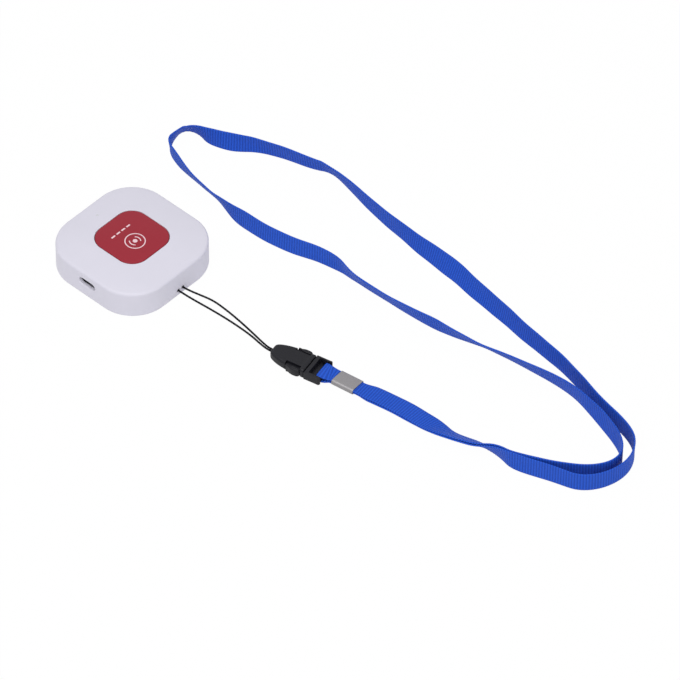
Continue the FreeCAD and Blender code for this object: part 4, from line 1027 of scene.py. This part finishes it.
def finish(name, dark, light, roughness, bump, pattern=grain, settings=COARSE_GRAIN, uv=False,
           metallic=0.0, specular=0.5):
    """Material from two tones, a range of roughness, a bump depth in metres and a pattern."""
    made = bpy.data.materials.new(name)
    made.use_nodes = True
    tree = made.node_tree
    shader = tree.nodes["Principled BSDF"]
    shader.inputs["Metallic"].default_value = metallic
    shader.inputs["Specular IOR Level"].default_value = specular
    place = tree.nodes.new("ShaderNodeTexCoord")
    vector = place.outputs["UV" if uv else "Object"]
    look = tree.nodes.new("ShaderNodeGroup")
    look.node_tree = pattern
    tree.links.new(vector, look.inputs["Vector"])
    for label, value in settings:
        look.inputs[label].default_value = value
    tones = tree.nodes.new("ShaderNodeMix")
    tones.data_type = "RGBA"
    tones.inputs["A"].default_value = (*dark, 1)
    tones.inputs["B"].default_value = (*light, 1)
    tree.links.new(look.outputs["Mask"], tones.inputs["Factor"])
    tree.links.new(tones.outputs["Result"], shader.inputs["Base Color"])
    touch = tree.nodes.new("ShaderNodeGroup")
    touch.node_tree = marks
    tree.links.new(place.outputs["Object"], touch.inputs["Vector"])
    gloss = tree.nodes.new("ShaderNodeMapRange")
    gloss.inputs["To Min"].default_value, gloss.inputs["To Max"].default_value = roughness
    tree.links.new(touch.outputs["Mask"], gloss.inputs["Value"])
    tree.links.new(gloss.outputs["Result"], shader.inputs["Roughness"])
    relief = tree.nodes.new("ShaderNodeBump")
    relief.inputs["Strength"].default_value = 0.6
    relief.inputs["Distance"].default_value = bump
    tree.links.new(look.outputs["Height"], relief.inputs["Height"])
    tree.links.new(relief.outputs["Normal"], shader.inputs["Normal"])
    return made


finishes = {
    "white_case": finish("white_case_plastic", (0.615, 0.60, 0.675), (0.67, 0.65, 0.73),
                         (0.48, 0.40), 9 * UM, settings=FINE_GRAIN, specular=0.4),
    "red_button": finish("red_button_plastic", (0.265, 0.010, 0.022), (0.305, 0.015, 0.030),
                         (0.48, 0.40), 9 * UM, settings=FINE_GRAIN, specular=0.3),
    "steel": finish("plated_steel", (0.50, 0.50, 0.51), (0.62, 0.62, 0.63), (0.38, 0.28),
                    4 * UM, metallic=1.0),
    "board_green": finish("board_mask_green", (0.010, 0.10, 0.045), (0.014, 0.14, 0.06),
                          (0.35, 0.25), 3 * UM),
    "black_plastic": finish("dull_black_plastic", (0.012, 0.012, 0.013), (0.022, 0.022, 0.024),
                            (0.55, 0.42), 8 * UM),
    "ceramic": finish("pale_ceramic", (0.60, 0.58, 0.52), (0.70, 0.68, 0.62), (0.5, 0.4),
                      3 * UM),
    "cell_foil": finish("pouch_foil", (0.52, 0.52, 0.54), (0.66, 0.66, 0.68), (0.4, 0.28),
                        8 * UM, metallic=0.9),
    "foam": finish("closed_cell_foam", (0.03, 0.03, 0.03), (0.06, 0.06, 0.06), (0.95, 0.85),
                   60 * UM),
    "lead_red": finish("lead_insulation", (0.42, 0.02, 0.02), (0.52, 0.03, 0.03), (0.5, 0.4),
                       3 * UM),
    "buckle_black": finish("buckle_plastic", (0.004, 0.004, 0.006), (0.013, 0.013, 0.018),
                           (0.50, 0.40), 14 * UM, specular=0.22),
    # Painted shade: the string's dark tone goes into the valleys of the braid through the woven mask,
    # mixed with a random tone.
    "string_black": finish("braided_polyester", (0.002, 0.002, 0.003), (0.014, 0.014, 0.018),
                           (0.8, 0.7), 40 * UM, pattern=threads, uv=True, specular=0.15,
                           settings=[("Rib pitch", 0.8), ("Thread pitch", 0.25)]),
    "crimp_grey": finish("satin_nickel", (0.26, 0.25, 0.258), (0.33, 0.32, 0.328),
                         (0.55, 0.46), 5 * UM, metallic=0.8),
    # Painted shade: the ribbon's dark tone goes into the valleys between ribs and threads through the
    # woven mask, mixed with a random tone.
    "ribbon_blue": finish("ribbed_polyester", (0.006, 0.040, 0.30), (0.018, 0.105, 0.64),
                          (0.66, 0.56), 60 * UM, pattern=threads, uv=True, specular=0.2,
                          settings=[("Rib pitch", RIB_PITCH), ("Thread pitch", 0.42)]),
}
finishes["clear_pipe"] = finish("moulded_clear", (0.55, 0.56, 0.58), (0.66, 0.67, 0.69),
                                (0.25, 0.15), 2 * UM, settings=FINE_GRAIN)
ink = finish("pale_ink", (0.74, 0.52, 0.56), (0.82, 0.62, 0.66), (0.5, 0.42), 3 * UM,
             settings=FINE_GRAIN)
slot_of = {row["node"]: row["material_slot"] for row in frame["record"]["subparts"]}
for name, node in nodes.items():
    for slot in node.material_slots:
        slot.material = finishes[slot_of[name]]
for piece, made in ((neck_ribbon, "ribbon_blue"), (strap_string, "string_black"),
                    (case_shell, "white_case"), (button, "red_button"), (crimp, "crimp_grey"),
                    *((piece, "buckle_black") for piece in (socket, deck, *pads))):
    piece.data.materials.append(finishes[made])
sign.data.materials.append(ink)
print(len(finishes) + 1, "finishes on", len(nodes), "carried nodes and the new pieces")

# %% [markdown]
# The light is a soft studio: a pale even sky, one large lamp above and in front, and a weaker
# one from the side, at a level where a colour renders about as it is written. The background
# is pure white to the camera and in reflections. The floor shows only a hundredth and a half of
# its own shading, so there is hardly a trace of the shadow.

# %% Sky, floor and lamps
def background_rays(tree):
    """One for camera, glossy and transmission rays, which see the white background."""
    seen = tree.nodes.new("ShaderNodeLightPath")
    rays = maths(tree, "ADD", seen.outputs["Is Camera Ray"], seen.outputs["Is Glossy Ray"])
    return maths(tree, "ADD", rays, seen.outputs["Is Transmission Ray"])


world = bpy.data.worlds.new("studio")
world.use_nodes = True
bpy.context.scene.world = world
tree = world.node_tree
tree.nodes.clear()
sky, white = (tree.nodes.new("ShaderNodeBackground") for _ in range(2))
sky.inputs["Color"].default_value = (0.97, 0.98, 1.0, 1)
sky.inputs["Strength"].default_value = 0.62
white.inputs["Color"].default_value = (1, 1, 1, 1)
choose = tree.nodes.new("ShaderNodeMixShader")
tree.links.new(background_rays(tree), choose.inputs["Fac"])
tree.links.new(sky.outputs[0], choose.inputs[1])
tree.links.new(white.outputs[0], choose.inputs[2])
tree.links.new(choose.outputs[0], tree.nodes.new("ShaderNodeOutputWorld").inputs["Surface"])

FLOOR_HALF, FLOOR_UNDER, FLOOR_WHITE = 3.0, -0.0003, 0.985
corners = np.array([(-1, -1), (1, -1), (1, 1), (-1, 1)]) * FLOOR_HALF
floor = mesh_piece("floor", np.c_[corners, np.full(4, FLOOR_UNDER)], [[0, 1, 2, 3]])
pale = bpy.data.materials.new("pale_floor")
pale.use_nodes = True
tree = pale.node_tree
shader = tree.nodes["Principled BSDF"]
shader.inputs["Base Color"].default_value = (0.85, 0.85, 0.86, 1)
shader.inputs["Roughness"].default_value = 0.9
glow = tree.nodes.new("ShaderNodeEmission")
choose = tree.nodes.new("ShaderNodeMixShader")
share = maths(tree, "MULTIPLY", background_rays(tree), FLOOR_WHITE)
tree.links.new(share, choose.inputs["Fac"])
tree.links.new(shader.outputs[0], choose.inputs[1])
tree.links.new(glow.outputs[0], choose.inputs[2])
tree.links.new(choose.outputs[0], tree.nodes["Material Output"].inputs["Surface"])
floor.data.materials.append(pale)


def lamp(name, place, aim, size, power):
    light = bpy.data.lights.new(name, "AREA")
    light.shape = "DISK"
    light.size = size
    light.energy = power
    holder = bpy.data.objects.new(name, light)
    bpy.context.collection.objects.link(holder)
    holder.location = place
    holder.rotation_mode = "QUATERNION"
    holder.rotation_quaternion = (Vector(aim) - Vector(place)).to_track_quat("-Z", "Y")


middle = (VIEW_TARGET.x, VIEW_TARGET.y, 0.0)
lamp("key", (0.55, 0.05, 1.25), middle, 0.9, 9.0)
lamp("fill", (0.2, 1.2, 0.7), middle, 0.8, 3.0)
bpy.context.scene.view_settings.view_transform = "Standard"
print("stage ready")
